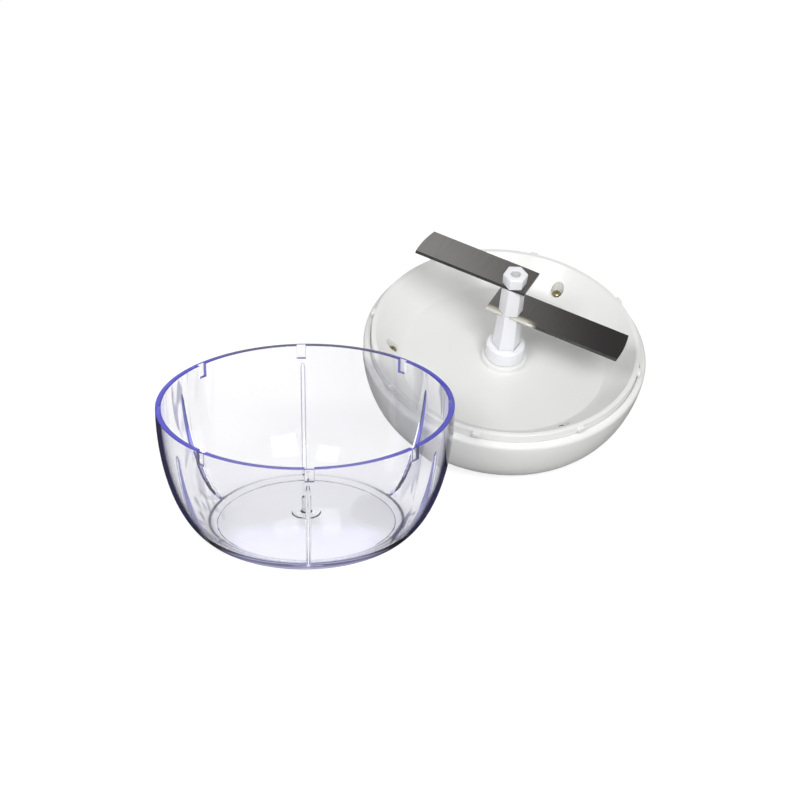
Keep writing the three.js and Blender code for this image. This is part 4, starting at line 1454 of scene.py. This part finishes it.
@dataclass(frozen=True)
class LidSizes:
    """What the lid's pieces share, in the lid's frame, whose origin is the skirt's edge."""

    fit: float = 0.3
    skirt_radius: float = 78.5
    skirt_height: float = 7.9
    shoulder_land: float = 3.9
    dome_depth: float = 40.0
    liner_depth: float = 15.0
    seat_rise: float = 3.5
    liner_wall: float = 2.2
    boss_height: float = 3.3
    screw_count: int = 3
    screw_angle: float = 60.0
    screw_inset: float = 13.1
    screw_rise: float = 1.0
    pocket_radius: float = 3.8
    pocket_wall: float = 2.0
    crank_angle: float = 103.2
    crank_reach: float = 55.0
    crank_gap: float = 1.0
    crank_seat: float = 4.4
    crank_washer: float = 1.8
    crank_well: float = 4.9
    knob_washer: float = 0.8
    facing: float = -76.0
    lean: float = 20.29425
    spin: float = 76.8
    spot: tuple[float, float, float] = (113.864, 112.2339, 63.799031)

    @property
    def shoulder(self) -> float:
        """The height of the dome's shoulder."""
        return -self.skirt_height

    @property
    def dome_top(self) -> float:
        """The height of the dome's outermost point."""
        return self.shoulder - self.dome_depth

    @property
    def liner_floor(self) -> float:
        """The height of the liner's floor."""
        return -self.liner_depth

    @property
    def liner_back(self) -> float:
        """The height of the liner's hidden side."""
        return self.liner_floor - self.liner_wall

    @property
    def boss_end(self) -> float:
        """The height at which the liner's bosses end."""
        return self.liner_back - self.boss_height

    @property
    def screw_circle(self) -> float:
        """The radius of the circle of the liner's screws."""
        return self.skirt_radius - self.screw_inset

    @property
    def pocket_floor(self) -> float:
        """The height of the floor of a screw's pocket."""
        return self.liner_floor + self.screw_rise

    @property
    def seat_top(self) -> float:
        """The height of the raised middle that the collar stands on."""
        return self.liner_floor + self.seat_rise

    @property
    def crank_foot(self) -> float:
        """The height of the crank's hub next to the dome."""
        return self.dome_top - self.crank_gap - 2 * self.fit

    @property
    def crank_face(self) -> float:
        """The height of the crank's outer face."""
        return self.crank_foot - self.crank_seat - self.fit - self.crank_washer - self.crank_well

    @property
    def knob_foot(self) -> float:
        """The height of the knob's end next to the arm."""
        return self.crank_face - self.knob_washer - 2 * self.fit

    @property
    def matrix(self) -> Matrix:
        """The lid's frame, in millimetres, in the model's frame."""
        turns = ((self.facing, "Z"), (self.lean, "Y"), (self.spin, "Z"))
        matrix = Matrix.Translation(self.spot)
        for angle, axis in turns:
            matrix = matrix @ Matrix.Rotation(math.radians(angle), 4, axis)
        return matrix

    @property
    def crank_matrix(self) -> Matrix:
        """The crank's frame, with its arm along X."""
        return self.matrix @ Matrix.Rotation(math.radians(self.crank_angle), 4, "Z")

    def at_screws(self, piece: Mesh, spin: float = 0.0) -> Mesh:
        """Copies a piece to the places of the liner's screws, turned within a spread."""
        return copies(piece, self.screw_count, self.screw_circle, self.screw_angle, spin)


@dataclass
class Casing:
    """The lid's white dome and liner, with the screws that join them."""

    lid: LidSizes
    dome_wall: float = 2.5
    radius_power: float = 2 / 8.72
    depth_power: float = 2 / 1.36
    shoulder_angle: float = 88.5
    shoulder_rise: float = 2.9
    shoulder_steps: int = 12
    tube_radius: float = 13.0
    tube_end: float = -38.6
    shaft_hole: float = 9.8
    post_radius: float = 4.2
    skirt_tuck: float = 1.5
    skirt_wall: float = 2.2
    skirt_land: float = 2.6
    skirt_edge: float = 0.5
    cove_reach: float = 19.5
    cove_power: float = 1.15
    cove_shift: float = 0.9
    seat_radius: float = 13.2
    seat_edge: float = 0.8
    seat_land: float = 2.0
    post_sink: float = 0.1
    pocket_edge: float = 0.4
    bush_hole: float = 7.3
    tab_count: int = 8
    tab_angle: float = 31.5
    tab_width: float = 4.4
    tab_reach: float = 1.9
    tab_height: float = 3.6
    tab_top: float = 0.9
    tab_edge: float = 0.5
    tab_rounding: float = 0.6
    pocket_end: float = 3.0
    idler_count: int = 3
    idler_circle: float = 27.0
    idler_boss: float = 4.8
    head_radius: float = 2.7
    head_height: float = 1.8
    shank_radius: float = 1.5
    screw_length: float = 13.0
    screw_edge: float = 0.5
    tip_length: float = 1.2
    taper_length: float = 3.0
    tip_share: float = 0.6
    side_share: float = 0.45
    crown_shares: tuple[float, float] = (0.72, 0.9)
    cross_width: float = 0.8
    cross_depth: float = 0.9
    cross_over: float = 0.3
    cross_share: float = 0.58
    cross_foot_shares: tuple[float, float] = (0.5, 0.6)
    clamp_gap: float = 0.35
    screw_spin: float = 80.0
    sides: int = 192
    steps: int = 40

    def dome_side(self, inside: bool, last: float) -> Mesh:
        """One side of the dome, from its pole up to an angle.

        Args:
            inside: Whether it is the hidden side.
            last: The angle at which it ends, in degrees.

        Returns:
            An open mesh.
        """
        lid = self.lid
        values = {
            "Foot Radius": 0.0,
            "Rim Radius": lid.skirt_radius + (lid.fit if inside else lid.shoulder_land),
            "Foot Height": lid.dome_top + (self.dome_wall if inside else 0),
            "Rim Height": lid.shoulder,
            "Radius Power": self.radius_power,
            "Height Power": self.depth_power,
            "Crowding": 2.6,
            "Last Angle": last,
            "Sides": self.sides,
            "Steps": self.steps,
            "Inside": inside,
        }
        return grown(wall_tree(), values)

    def dome_end(self) -> tuple[float, float]:
        """The radius and height at which the dome's outside ends."""
        lid = self.lid
        angle = math.radians(self.shoulder_angle)
        radius = (lid.skirt_radius + lid.shoulder_land) * math.sin(angle) ** self.radius_power
        return radius, lid.shoulder - lid.dome_depth * math.cos(angle) ** self.depth_power

    def dome(self) -> Mesh:
        """The dome, with its shoulder, the crank's bearing and the screw posts."""
        lid = self.lid
        end = self.dome_end()
        low, land = lid.skirt_radius + lid.fit, lid.shoulder_land - lid.fit
        brow = []
        for i in range(self.shoulder_steps + 1):
            turn = QUARTER * i / self.shoulder_steps
            height = lid.shoulder + self.shoulder_rise * math.sin(turn)
            brow.append((low + land * math.cos(turn), height))
        edge = lathe([end, *brow, (low, lid.shoulder)], self.sides)
        outside = self.dome_side(False, self.shoulder_angle)
        shell = gathered([outside, edge, self.dome_side(True, 90.0)], merge=WELD)
        body = gathered([outside, lathe([end, (0, end[1])], self.sides)], merge=WELD)
        posts = lid.at_screws(rod(self.post_radius, lid.dome_top, lid.liner_back - lid.fit))
        inner = combined(posts, [body], Join.KEEP)
        tube = rod(self.tube_radius, lid.dome_top, self.tube_end, ROUND_SIDES)
        tube = combined(tube, [body], Join.KEEP)
        joined = combined(shell, [inner, tube], Join.ADD)
        hole = rod(self.shaft_hole, lid.dome_top - 2 * OVERRUN, 0, ROUND_SIDES)
        return combined(joined, [hole], Join.CUT)

    def cove(self, shift: float, drop: float) -> Outline:
        """The liner's curve from its floor to the skirt's flat edge.

        Args:
            shift: How far the curve is moved out.
            drop: How far it is moved down.

        Returns:
            The curve's points.
        """
        lid = self.lid
        start = lid.skirt_radius - self.cove_reach
        reach = self.cove_reach - self.skirt_land
        curve = []
        for i in range(self.steps + 1):
            share = i / self.steps
            rise = lid.liner_depth * share**self.cove_power
            curve.append((start + reach * share + shift, lid.liner_floor + rise - drop))
        return curve

    def liner(self) -> Mesh:
        """The dish with its skirt, the collar's seat, screw pockets, bosses and tabs."""
        lid = self.lid
        hollow = lid.skirt_radius - self.skirt_wall
        back = [p for p in self.cove(self.cove_shift, lid.liner_wall) if p[0] < hollow - lid.fit]
        front = self.cove(0, 0)
        skirt = rounded(
            [
                (lid.skirt_radius, lid.shoulder - self.skirt_tuck),
                (lid.skirt_radius, 0),
                front[-1],
                front[-3],
            ],
            self.skirt_edge,
        )
        seat = rounded(
            [
                (self.seat_radius + self.seat_land, lid.liner_floor),
                (self.seat_radius, lid.liner_floor),
                (self.seat_radius, lid.seat_top),
                (self.seat_radius - self.seat_land, lid.seat_top),
            ],
            self.seat_edge,
        )
        outline = [
            (self.bush_hole, lid.liner_back),
            *back,
            (hollow, back[-1][1] + self.cove_shift),
            (hollow, lid.shoulder - self.skirt_tuck),
            *skirt[:-1],
            *front[-3::-1],
            *seat,
            (self.bush_hole, lid.seat_top),
        ]
        dish = lathe(outline, self.sides, closed=True)
        low = lid.liner_back
        under = [(0, low), (hollow, low), (hollow, -OVERRUN), *front[-4::-1], (0, lid.liner_floor)]
        behind = moved(lathe(under, self.sides), Matrix.Translation((0, 0, -self.post_sink)))
        posts = lid.at_screws(rod(lid.pocket_radius + lid.pocket_wall, low, 0, HOLE_SIDES))
        posts = combined(posts, [behind], Join.KEEP)
        boss = rod(self.idler_boss, lid.boss_end, low + lid.liner_wall / 2)
        bosses = copies(boss, self.idler_count, self.idler_circle, 0.0)
        dish = combined(dish, [posts, bosses], Join.ADD)
        floor, end = lid.pocket_floor, self.pocket_end
        mouth = [(0.0, floor), (lid.pocket_radius, floor), (lid.pocket_radius, end), (0.0, end)]
        pockets = lid.at_screws(lathe(rounded(mouth, self.pocket_edge), HOLE_SIDES))
        holes = lid.at_screws(rod(self.shank_radius + lid.fit, low - OVERRUN, floor + OVERRUN))
        dish = combined(dish, [pockets, holes], Join.CUT)
        return gathered([dish, self.tabs()])

    def tabs(self) -> Mesh:
        """The tabs on the skirt's outside, which drop into the bowl's notches."""
        lid = self.lid
        start = lid.skirt_radius - self.skirt_wall / 2
        end = lid.skirt_radius + self.tab_reach
        half = self.tab_width / 2
        rings = []
        for height, inset in (
            (-self.tab_height, self.tab_edge),
            (self.tab_edge - self.tab_height, 0.0),
            (-self.tab_top, 0.0),
            (-lid.fit, self.tab_edge),
        ):
            flat = rectangle(start, end - inset, half - inset)
            flat = rounded(flat, self.tab_rounding, CORNER_STEPS, closed=True)
            rings.append(ring_at(flat, height))
        return copies(loft(rings), self.tab_count, 0.0, self.tab_angle)

    def screw(self) -> Mesh:
        """One cross head screw, its head's underside at zero."""
        top, end = self.head_height, -self.screw_length
        crown_radius, crown_height = self.crown_shares
        outline = [
            (0.0, end),
            (self.shank_radius * self.tip_share, end + self.tip_length),
            (self.shank_radius, end + self.taper_length),
            (self.shank_radius, 0.0),
            (self.head_radius, 0.0),
            (self.head_radius, top * self.side_share),
            (self.head_radius * crown_radius, top * crown_height),
            (0.0, top),
        ]
        body = lathe(rounded(outline, self.screw_edge), SCREW_SIDES)
        half = self.cross_width / 2
        arm = self.head_radius * self.cross_share
        foot_length, foot_width = self.cross_foot_shares
        foot = rectangle(-arm * foot_length, arm * foot_length, half * foot_width)
        mouth = rectangle(-arm, arm, half)
        slot = loft([ring_at(foot, top - self.cross_depth), ring_at(mouth, top + self.cross_over)])
        other = moved(slot.copy(), Matrix.Rotation(QUARTER, 4, "Z"))
        return combined(body, [slot, other], Join.CUT)

    def build(self) -> None:
        """Builds the casing's pieces and puts them in their places."""
        lid = self.lid
        finished(self.dome(), "white_dome", "lid", ["lid_dome"], Finish.WHITE, lid.matrix)
        finished(self.liner(), "white_liner", "lid", ["lid_liner"], Finish.WHITE, lid.matrix)
        screw = moved(self.screw(), Matrix.Translation((0, 0, lid.pocket_floor + self.clamp_gap)))
        screws = lid.at_screws(screw, self.screw_spin)
        nodes = [f"liner_screw_{i + 1}" for i in range(lid.screw_count)]
        finished(screws, "liner_screws", "lid", nodes, Finish.PLATED, lid.matrix)


@dataclass
class Tower:
    """The driven socket and the blade tower that stands in it."""

    lid: LidSizes
    collar_radius: float = 11.2
    collar_height: float = 9.5
    collar_edge: float = 0.8
    collar_floor: float = 1.6
    collar_foot_edge: float = 0.4
    collar_rounding: float = 0.3
    mouth_flare: float = 0.4
    mouth_end: float = 2.0
    shaft_radius: float = 5.0
    foot_radius: float = 8.0
    middle_radius: float = 7.05
    top_radius: float = 6.8
    angle: float = 1.0
    plug_end: float = 0.4
    edge: float = 0.35
    lower_height: float = 22.8
    upper_height: float = 44.0
    stem_radius: float = 4.5
    bore_radius: float = 2.9
    bore_depth: float = 12.0
    nut_radius: float = 7.2
    nut_height: float = 7.4
    nut_chamfer: float = 0.4
    nut_roof: float = 1.6
    nut_angle: float = 3.0
    nut_edge: float = 0.3
    nut_rounding: float = 0.45
    blade_thickness: float = 1.2
    blade_angle: float = -26.6
    blade_bevel: float = 1.1
    blade_edge: float = 0.3
    lower_blade: tuple[float, float, float, float] = (69.4, 13.3, 5.4, 17.1)
    upper_blade: tuple[float, float, float, float] = (60.9, 8.8, 5.7, 15.6)
    tip_steps: int = 18

    @property
    def collar_foot(self) -> float:
        """The height of the collar's foot."""
        return self.lid.seat_top + self.lid.fit

    @property
    def collar_top(self) -> float:
        """The height of the collar's top."""
        return self.collar_foot + self.collar_height

    @property
    def foot_top(self) -> float:
        """The height of the tower foot's top."""
        return self.lower_height + self.blade_thickness / 2

    @property
    def nut_foot(self) -> float:
        """The height of the nut's foot."""
        return self.upper_height + self.blade_thickness / 2 + self.lid.fit

    @property
    def nut_top(self) -> float:
        """The height of the nut's top."""
        return self.nut_foot + self.nut_height

    @property
    def stem_top(self) -> float:
        """The height at which the stem ends, inside the nut."""
        return self.nut_top - self.nut_roof - self.lid.fit

    def stem_hole(self, low: float, high: float) -> Mesh:
        """The cutter for a hole that the stem goes through."""
        return rod(self.stem_radius + self.lid.fit, low, high, HOLE_SIDES)

    def socket(self) -> Mesh:
        """The round collar with its six sided mouth."""
        shape = [
            (0.0, self.lid.boss_end),
            (self.shaft_radius, self.lid.boss_end),
            (self.shaft_radius, self.collar_foot),
            (self.collar_radius - self.collar_foot_edge, self.collar_foot),
            (self.collar_radius, self.collar_foot + self.collar_foot_edge),
            (self.collar_radius, self.collar_top - self.collar_edge),
            (self.collar_radius - self.collar_edge, self.collar_top),
            (0.0, self.collar_top),
        ]
        collar = lathe(rounded(shape, self.collar_rounding), ROUND_SIDES)
        mouth, flare = self.foot_radius + self.lid.fit, self.mouth_flare
        hole = [
            (mouth, self.collar_foot + self.collar_floor),
            (mouth, self.collar_top - flare),
            (mouth + flare, self.collar_top),
            (mouth + flare, self.mouth_end),
        ]
        return combined(collar, [prism(hole, HEX, self.angle, flare)], Join.CUT)

    def foot(self) -> Mesh:
        """The tower's foot with its stem and the seat of the lower blade."""
        low = self.collar_foot + self.collar_floor + self.plug_end
        shape = [
            (0.0, low),
            (self.foot_radius, low),
            (self.foot_radius, self.collar_top),
            (self.middle_radius, self.foot_top),
            (0.0, self.foot_top),
        ]
        body = prism(rounded(shape, self.edge, CORNER_STEPS), HEX, self.angle, self.edge)
        reach, tail, near, far = self.lower_blade
        gap = self.lid.fit
        seat_low = (-tail - gap, -near - gap, self.foot_top - self.blade_thickness - gap)
        seat = block(seat_low, (reach, far + gap, self.foot_top + OVERRUN))
        turn = Matrix.Rotation(math.radians(self.blade_angle), 4, "Z")
        body = combined(body, [moved(seat, turn)], Join.CUT)
        start, end = self.lower_height - self.stem_radius, self.stem_top
        stem = rod(self.stem_radius, start, end, HOLE_SIDES)
        body = combined(body, [stem], Join.ADD)
        bore = rod(self.bore_radius, end - self.bore_depth, end + OVERRUN, HOLE_SIDES)
        return combined(body, [bore], Join.CUT)

    def spacer(self) -> Mesh:
        """The hexagonal spacer between the blades."""
        low = self.foot_top + self.lid.fit
        high = self.upper_height - self.blade_thickness / 2 - self.lid.fit
        shape = [(0.0, low), (self.middle_radius, low), (self.top_radius, high), (0.0, high)]
        body = prism(rounded(shape, self.edge, CORNER_STEPS), HEX, self.angle, self.edge)
        return combined(body, [self.stem_hole(low - OVERRUN, high + OVERRUN)], Join.CUT)

    def nut(self) -> Mesh:
        """The hexagonal nut, with a hole in its roof for the bowl's pin."""
        low, high = self.nut_foot, self.nut_top
        shape = [
            (0.0, low),
            (self.nut_radius - self.nut_chamfer / 2, low),
            (self.nut_radius, high - 2 * self.nut_chamfer),
            (self.nut_radius - self.nut_chamfer, high),
            (0.0, high),
        ]
        shape = rounded(shape, self.nut_edge, CORNER_STEPS)
        body = prism(shape, HEX, self.nut_angle, self.nut_rounding)
        bore = self.stem_hole(low - OVERRUN, high - self.nut_roof)
        start, end = high - self.nut_roof - OVERRUN, high + OVERRUN
        radius, flared = self.bore_radius, self.bore_radius + self.nut_edge
        mouth = [
            (0.0, start),
            (radius, start),
            (radius, high - self.nut_edge),
            (flared, high),
            (flared, end),
            (0.0, end),
        ]
        return combined(body, [bore, lathe(mouth, HOLE_SIDES)], Join.CUT)

    def blade(self, sizes: tuple[float, float, float, float], side: int, height: float) -> Mesh:
        """One blade, flat along X, with a ground edge and a rounded tip.

        Args:
            sizes: Its reach, its tail, and its widths to the near and the far edge.
            side: -1 where the near edge lies at -Y, 1 where it lies at +Y.
            height: The height of its middle.

        Returns:
            A closed mesh.
        """
        reach, tail, near, far = sizes
        low = height - self.blade_thickness / 2
        high = height + self.blade_thickness / 2
        flat = far + near - self.blade_bevel
        across = [(-far + flat * i / self.tip_steps, high) for i in range(self.tip_steps + 1)]
        across.append((near, low + self.blade_edge))
        rings = []
        for distance, top in across:
            y = side * distance
            tip = math.sqrt(reach * reach - y * y)
            ring = [(-tail, low), (-tail, top), (tip, top), (tip, low)]
            rings.append([Vector((x, y, z)) for x, z in (ring if side > 0 else ring[::-1])])
        body = loft(rings)
        return combined(body, [self.stem_hole(low - OVERRUN, high + OVERRUN)], Join.CUT)

    def build(self) -> None:
        """Builds the socket, the tower and the blades and puts them in their places."""
        place = self.lid.matrix
        finished(self.socket(), "socket_collar", "spindle", ["drive_socket"], Finish.TOWER, place)
        finished(self.foot(), "hex_foot", "tower", ["tower_foot"], Finish.TOWER, place)
        finished(self.spacer(), "hex_spacer", "tower", ["tower_spacer"], Finish.TOWER, place)
        finished(self.nut(), "hex_nut", "tower", ["tower_nut"], Finish.TOWER, place)
        for name, sizes, side, height, turn in (
            ("lower_blade", self.lower_blade, -1, self.lower_height, 0),
            ("upper_blade", self.upper_blade, 1, self.upper_height, 180),
        ):
            matrix = place @ Matrix.Rotation(math.radians(self.blade_angle + turn), 4, "Z")
            blade = self.blade(sizes, side, height)
            finished(blade, f"steel_{name}", "tower", [name], Finish.BLADES, matrix)


@dataclass
class Crank:
    """The crank's arm and cap on the outside of the dome, and the knob on its end."""

    lid: LidSizes
    hub_radius: float = 15.0
    arm_thickness: float = 6.5
    end_radius: float = 11.0
    well_edge: float = 0.4
    cap_radius: float = 9.5
    cap_thickness: float = 1.5
    cap_edge: float = 0.35
    edge: float = 1.1
    edge_steps: int = 5
    section_depth: float = 9.0
    arc_steps: int = 28
    knob_radius: float = 13.0
    knob_neck: float = 10.0
    knob_hollow: float = 0.45
    knob_steps: int = 15
    ball_steps: int = 16
    cap_steps: int = 14
    neck_edge: float = 0.9
    knob_barrel: float = 12.2
    knob_pin: float = 3.0
    knob_cap: float = 9.0
    cap_seat: float = 2.5
    washer_radius: float = 8.0
    washer_edge: float = 0.2
    washer_sides: int = 72

    def arm_ring(self, inset: float, height: float) -> list[Vector]:
        """The arm's outline, drawn in by an inset, at a height."""
        side = math.acos((self.hub_radius - self.end_radius) / self.lid.crank_reach)
        ring = []
        for i in range(self.arc_steps + 1):
            angle = -side + 2 * side * i / self.arc_steps
            radius = self.end_radius - inset
            reach = self.lid.crank_reach + radius * math.cos(angle)
            ring.append(Vector((reach, radius * math.sin(angle), height)))
        for i in range(self.arc_steps + 1):
            angle = side + 2 * (math.pi - side) * i / self.arc_steps
            radius = self.hub_radius - inset
            ring.append(Vector((radius * math.cos(angle), radius * math.sin(angle), height)))
        return ring

    def arm(self) -> Mesh:
        """The arm with its hub and the well for the cap."""
        face, foot, depth = self.lid.crank_face, self.lid.crank_foot, self.section_depth
        inner = face + self.arm_thickness
        section = [(depth, face), (0.0, face), (0.0, inner), (depth, inner)]
        section = rounded(section, self.edge, self.edge_steps)
        arm = loft([self.arm_ring(inset, height) for inset, height in section if inset < depth])
        hub_shape = [(0.0, face), (self.hub_radius, face), (self.hub_radius, foot), (0.0, foot)]
        hub = lathe(rounded(hub_shape, self.edge, self.edge_steps), ROUND_SIDES)
        radius, floor = self.cap_radius + self.lid.fit, face + self.lid.crank_well
        well = [
            (0.0, face - OVERRUN),
            (radius + self.well_edge, face - OVERRUN),
            (radius + self.well_edge, face),
            (radius, face + self.well_edge),
            (radius, floor),
            (0.0, floor),
        ]
        whole = combined(arm, [hub], Join.ADD)
        return combined(whole, [lathe(well, ROUND_SIDES)], Join.CUT)

    def cap(self) -> Mesh:
        """The flat cap over the crank's screw."""
        face = self.lid.crank_face
        back = face + self.cap_thickness
        shape = [(0.0, face), (self.cap_radius, face), (self.cap_radius, back), (0.0, back)]
        return lathe(rounded(shape, self.cap_edge), ROUND_SIDES)

    @property
    def knob_middle(self) -> float:
        """The height of the middle of the knob's round end."""
        return self.lid.knob_foot - self.knob_barrel

    def round_end(self, start: float, end: float, steps: int) -> Outline:
        """The knob's round end between two radii."""
        first, last = math.asin(start / self.knob_radius), math.asin(end / self.knob_radius)
        turns = [first + (last - first) * i / steps for i in range(steps + 1)]
        radius, middle = self.knob_radius, self.knob_middle
        return [(radius * math.sin(t), middle - radius * math.cos(t)) for t in turns]

    def knob(self) -> Mesh:
        """The knob, waisted towards the arm and open at its round end."""
        foot, middle = self.lid.knob_foot, self.knob_middle
        waist = []
        for i in range(1, self.knob_steps):
            share = i / self.knob_steps
            radius = self.knob_radius + (self.knob_neck - self.knob_radius) * share
            hollow = self.knob_hollow * math.sin(math.pi * share)
            waist.append((radius - hollow, middle + (foot - middle) * share))
        mouth, hole = self.knob_cap + self.lid.fit, self.knob_pin + self.lid.fit
        floor = self.round_end(0, self.knob_cap, 2)[-1][1] + self.cap_seat + self.lid.fit
        neck = rounded([waist[-1], (self.knob_neck, foot), (hole, foot)], self.neck_edge)
        ball = self.round_end(mouth, self.knob_radius, self.ball_steps)
        outline = [*ball, *waist[:-1], *neck, (hole, floor), (mouth, floor)]
        return lathe(outline, ROUND_SIDES, closed=True)

    def cap_of_knob(self) -> Mesh:
        """The cap that closes the knob's round end."""
        rim = self.round_end(0, self.knob_cap, self.cap_steps)
        back = rim[-1][1] + self.cap_seat
        return lathe([*rim, (self.knob_cap, back), (0.0, back)], ROUND_SIDES)

    def washer(self) -> Mesh:
        """The washer between the knob and the arm."""
        top = self.lid.crank_face - self.lid.fit
        hole = self.knob_pin + self.lid.fit
        low = top - self.lid.knob_washer
        shape = [(hole, low), (self.washer_radius, low), (self.washer_radius, top), (hole, top)]
        return lathe(rounded(shape, self.washer_edge, closed=True), self.washer_sides, closed=True)

    def build(self) -> None:
        """Builds the crank's pieces and puts them in their places."""
        place = self.lid.crank_matrix
        end = place @ Matrix.Translation((self.lid.crank_reach, 0, 0))
        finished(self.arm(), "arm_of_crank", "crank", ["crank_arm"], Finish.WHITE, place)
        finished(self.cap(), "cap_of_crank", "crank", ["crank_cap"], Finish.WHITE, place)
        finished(self.washer(), "washer_of_knob", "crank", ["knob_washer"], Finish.BUSHES, end)
        finished(self.knob(), "knob", "knob", ["crank_knob"], Finish.WHITE, end)
        finished(self.cap_of_knob(), "cap_of_knob", "knob", ["knob_cap"], Finish.WHITE, end)


@dataclass
class Works:
    """The gears, pins, bushes and screws inside, which keep the model's own shapes."""

    finishes: dict[str, Finish] = field(default_factory=lambda: {
        "keeper": Finish.STEEL,
        "gear": Finish.GEARS,
        "bush": Finish.BUSHES,
        "pin": Finish.STEEL,
        "washer": Finish.STEEL,
        "screw": Finish.STEEL,
    })

    def finish_of(self, node: str) -> Finish:
        """The finish of a node, by what its name says that it is."""
        return next(finish for word, finish in self.finishes.items() if word in node)

    def build(self) -> None:
        """Gives each node that still shows its material."""
        for name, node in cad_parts.items():
            if node.hide_render:
                continue
            finish = self.finish_of(name)
            for slot in node.material_slots:
                slot.material = finish.material
            LOG.info("%s: keeps its shape, finished as %s", name, finish.slot)


@dataclass
class Studio:
    """A plain pale floor, soft light and the camera."""

    floor_size: float = 14.0
    floor_level: float = -0.0003
    ambient: float = 0.40
    lens: float = 160.0
    camera_spot: tuple[float, float, float] = (0.05225, -1.7751, 0.89669)
    camera_tilt: float = 65.22
    seen_floor: Colour = (0.38, 0.38, 0.38, 1)
    lit_floor: Colour = (0.75, 0.75, 0.75, 1)
    mirrored_floor: Colour = (0.06, 0.06, 0.06, 1)
    floor_lift: float = 0.79
    front_shine: Range = (-0.9, 0.35)
    front_share: float = 0.45
    zenith_shine: Range = (0.35, 0.95)
    zenith_share: float = 0.6
    target: tuple[float, float, float] = (0.06, 0.06, 0.04)
    key_spot: tuple[float, float, float] = (0.70, -1.69, 1.21)
    key_size: float = 0.8
    key_power: float = 25.0
    left_spot: tuple[float, float, float] = (-0.63, -1.48, 1.45)
    left_size: float = 0.6
    left_power: float = 14.5
    sensor: float = 36.0
    seen_from: float = 0.05
    seen_to: float = 60.0

    def floor(self) -> None:
        """Lays a floor that shows white and keeps the object's shadow."""
        half = self.floor_size / 2
        corners = [(-half, -half, 0), (half, -half, 0), (half, half, 0), (-half, half, 0)]
        mesh = mesh_of(corners, [(0, 1, 2, 3)])
        plane = bpy.data.objects.new("studio_floor", mesh)
        bpy.context.scene.collection.objects.link(plane)
        plane.location.z = self.floor_level
        shader = Shader("studio_floor")
        path = shader.add("ShaderNodeLightPath").outputs
        seen = shader.math("MAXIMUM", path["Is Camera Ray"], path["Is Transmission Ray"])
        unseen = shader.mix(path["Is Glossy Ray"], self.lit_floor, self.mirrored_floor)
        shader.set(
            Base_Color=shader.mix(seen, unseen, self.seen_floor),
            Roughness=0.9,
            Specular_IOR_Level=0.0,
            Emission_Color=WHITE,
            Emission_Strength=shader.product(seen, self.floor_lift),
        )
        mesh.materials.append(shader.material)

    def world(self) -> None:
        """Lights all round: white where it is seen or looked through, darker where mirrored."""
        world = bpy.data.worlds.new("studio")
        world.use_nodes = True
        nodes = Nodes(world.node_tree)
        nodes.tree.nodes.clear()
        path = nodes.add("ShaderNodeLightPath").outputs
        seen = nodes.math("MAXIMUM", path["Is Camera Ray"], path["Is Transmission Ray"])
        way = nodes.parts(nodes.add("ShaderNodeTexCoord").outputs["Generated"])
        front = nodes.span(way["Y"], self.front_shine, (self.front_share, 1.0))
        zenith = nodes.span(way["Z"], self.zenith_shine, (1.0, self.zenith_share))
        lit = nodes.blend(path["Is Glossy Ray"], self.ambient, nodes.product(front, zenith))
        inputs = {"Color": WHITE, "Strength": nodes.blend(seen, lit, 1.0)}
        back = nodes.fed("ShaderNodeBackground", inputs)
        nodes.put(nodes.add("ShaderNodeOutputWorld").inputs["Surface"], back.outputs[0])
        bpy.context.scene.world = world

    def lamp(self, name: str, spot: Sequence[float], size: float, power: float) -> None:
        """Hangs a square lamp that faces the object.

        Args:
            name: The lamp's name.
            spot: Where it hangs, in metres.
            size: The length of its sides.
            power: Its power in watts.
        """
        light = bpy.data.lights.new(name, "AREA")
        light.size = size
        light.energy = power
        lamp = bpy.data.objects.new(name, light)
        bpy.context.scene.collection.objects.link(lamp)
        lamp.location = spot
        way = Vector(self.target) - Vector(spot)
        lamp.rotation_euler = way.to_track_quat("-Z", "Y").to_euler()

    def camera(self) -> None:
        """Sets up the camera."""
        data = bpy.data.cameras.new("camera")
        data.lens = self.lens
        data.sensor_width = self.sensor
        data.clip_start, data.clip_end = self.seen_from, self.seen_to
        camera = bpy.data.objects.new("camera", data)
        bpy.context.scene.collection.objects.link(camera)
        camera.location = self.camera_spot
        camera.rotation_euler = (math.radians(self.camera_tilt), 0, 0)
        bpy.context.scene.camera = camera

    def build(self) -> None:
        """Builds the studio."""
        self.floor()
        self.world()
        self.lamp("key_lamp", self.key_spot, self.key_size, self.key_power)
        self.lamp("left_lamp", self.left_spot, self.left_size, self.left_power)
        self.camera()
        view = bpy.context.scene.view_settings
        view.view_transform = "Standard"
        LOG.info("studio: floor, two lamps and the camera")


def main() -> None:
    """Builds the chopper's sub-assemblies in order and then the studio."""
    logging.basicConfig(level=logging.INFO, format="%(name)s: %(message)s")
    lid = LidSizes()
    for part in (Bowl(), Casing(lid), Tower(lid), Crank(lid), Works(), Studio()):
        part.build()
        LOG.info("%s done", type(part).__name__)


if __name__ == "__main__":
    main()
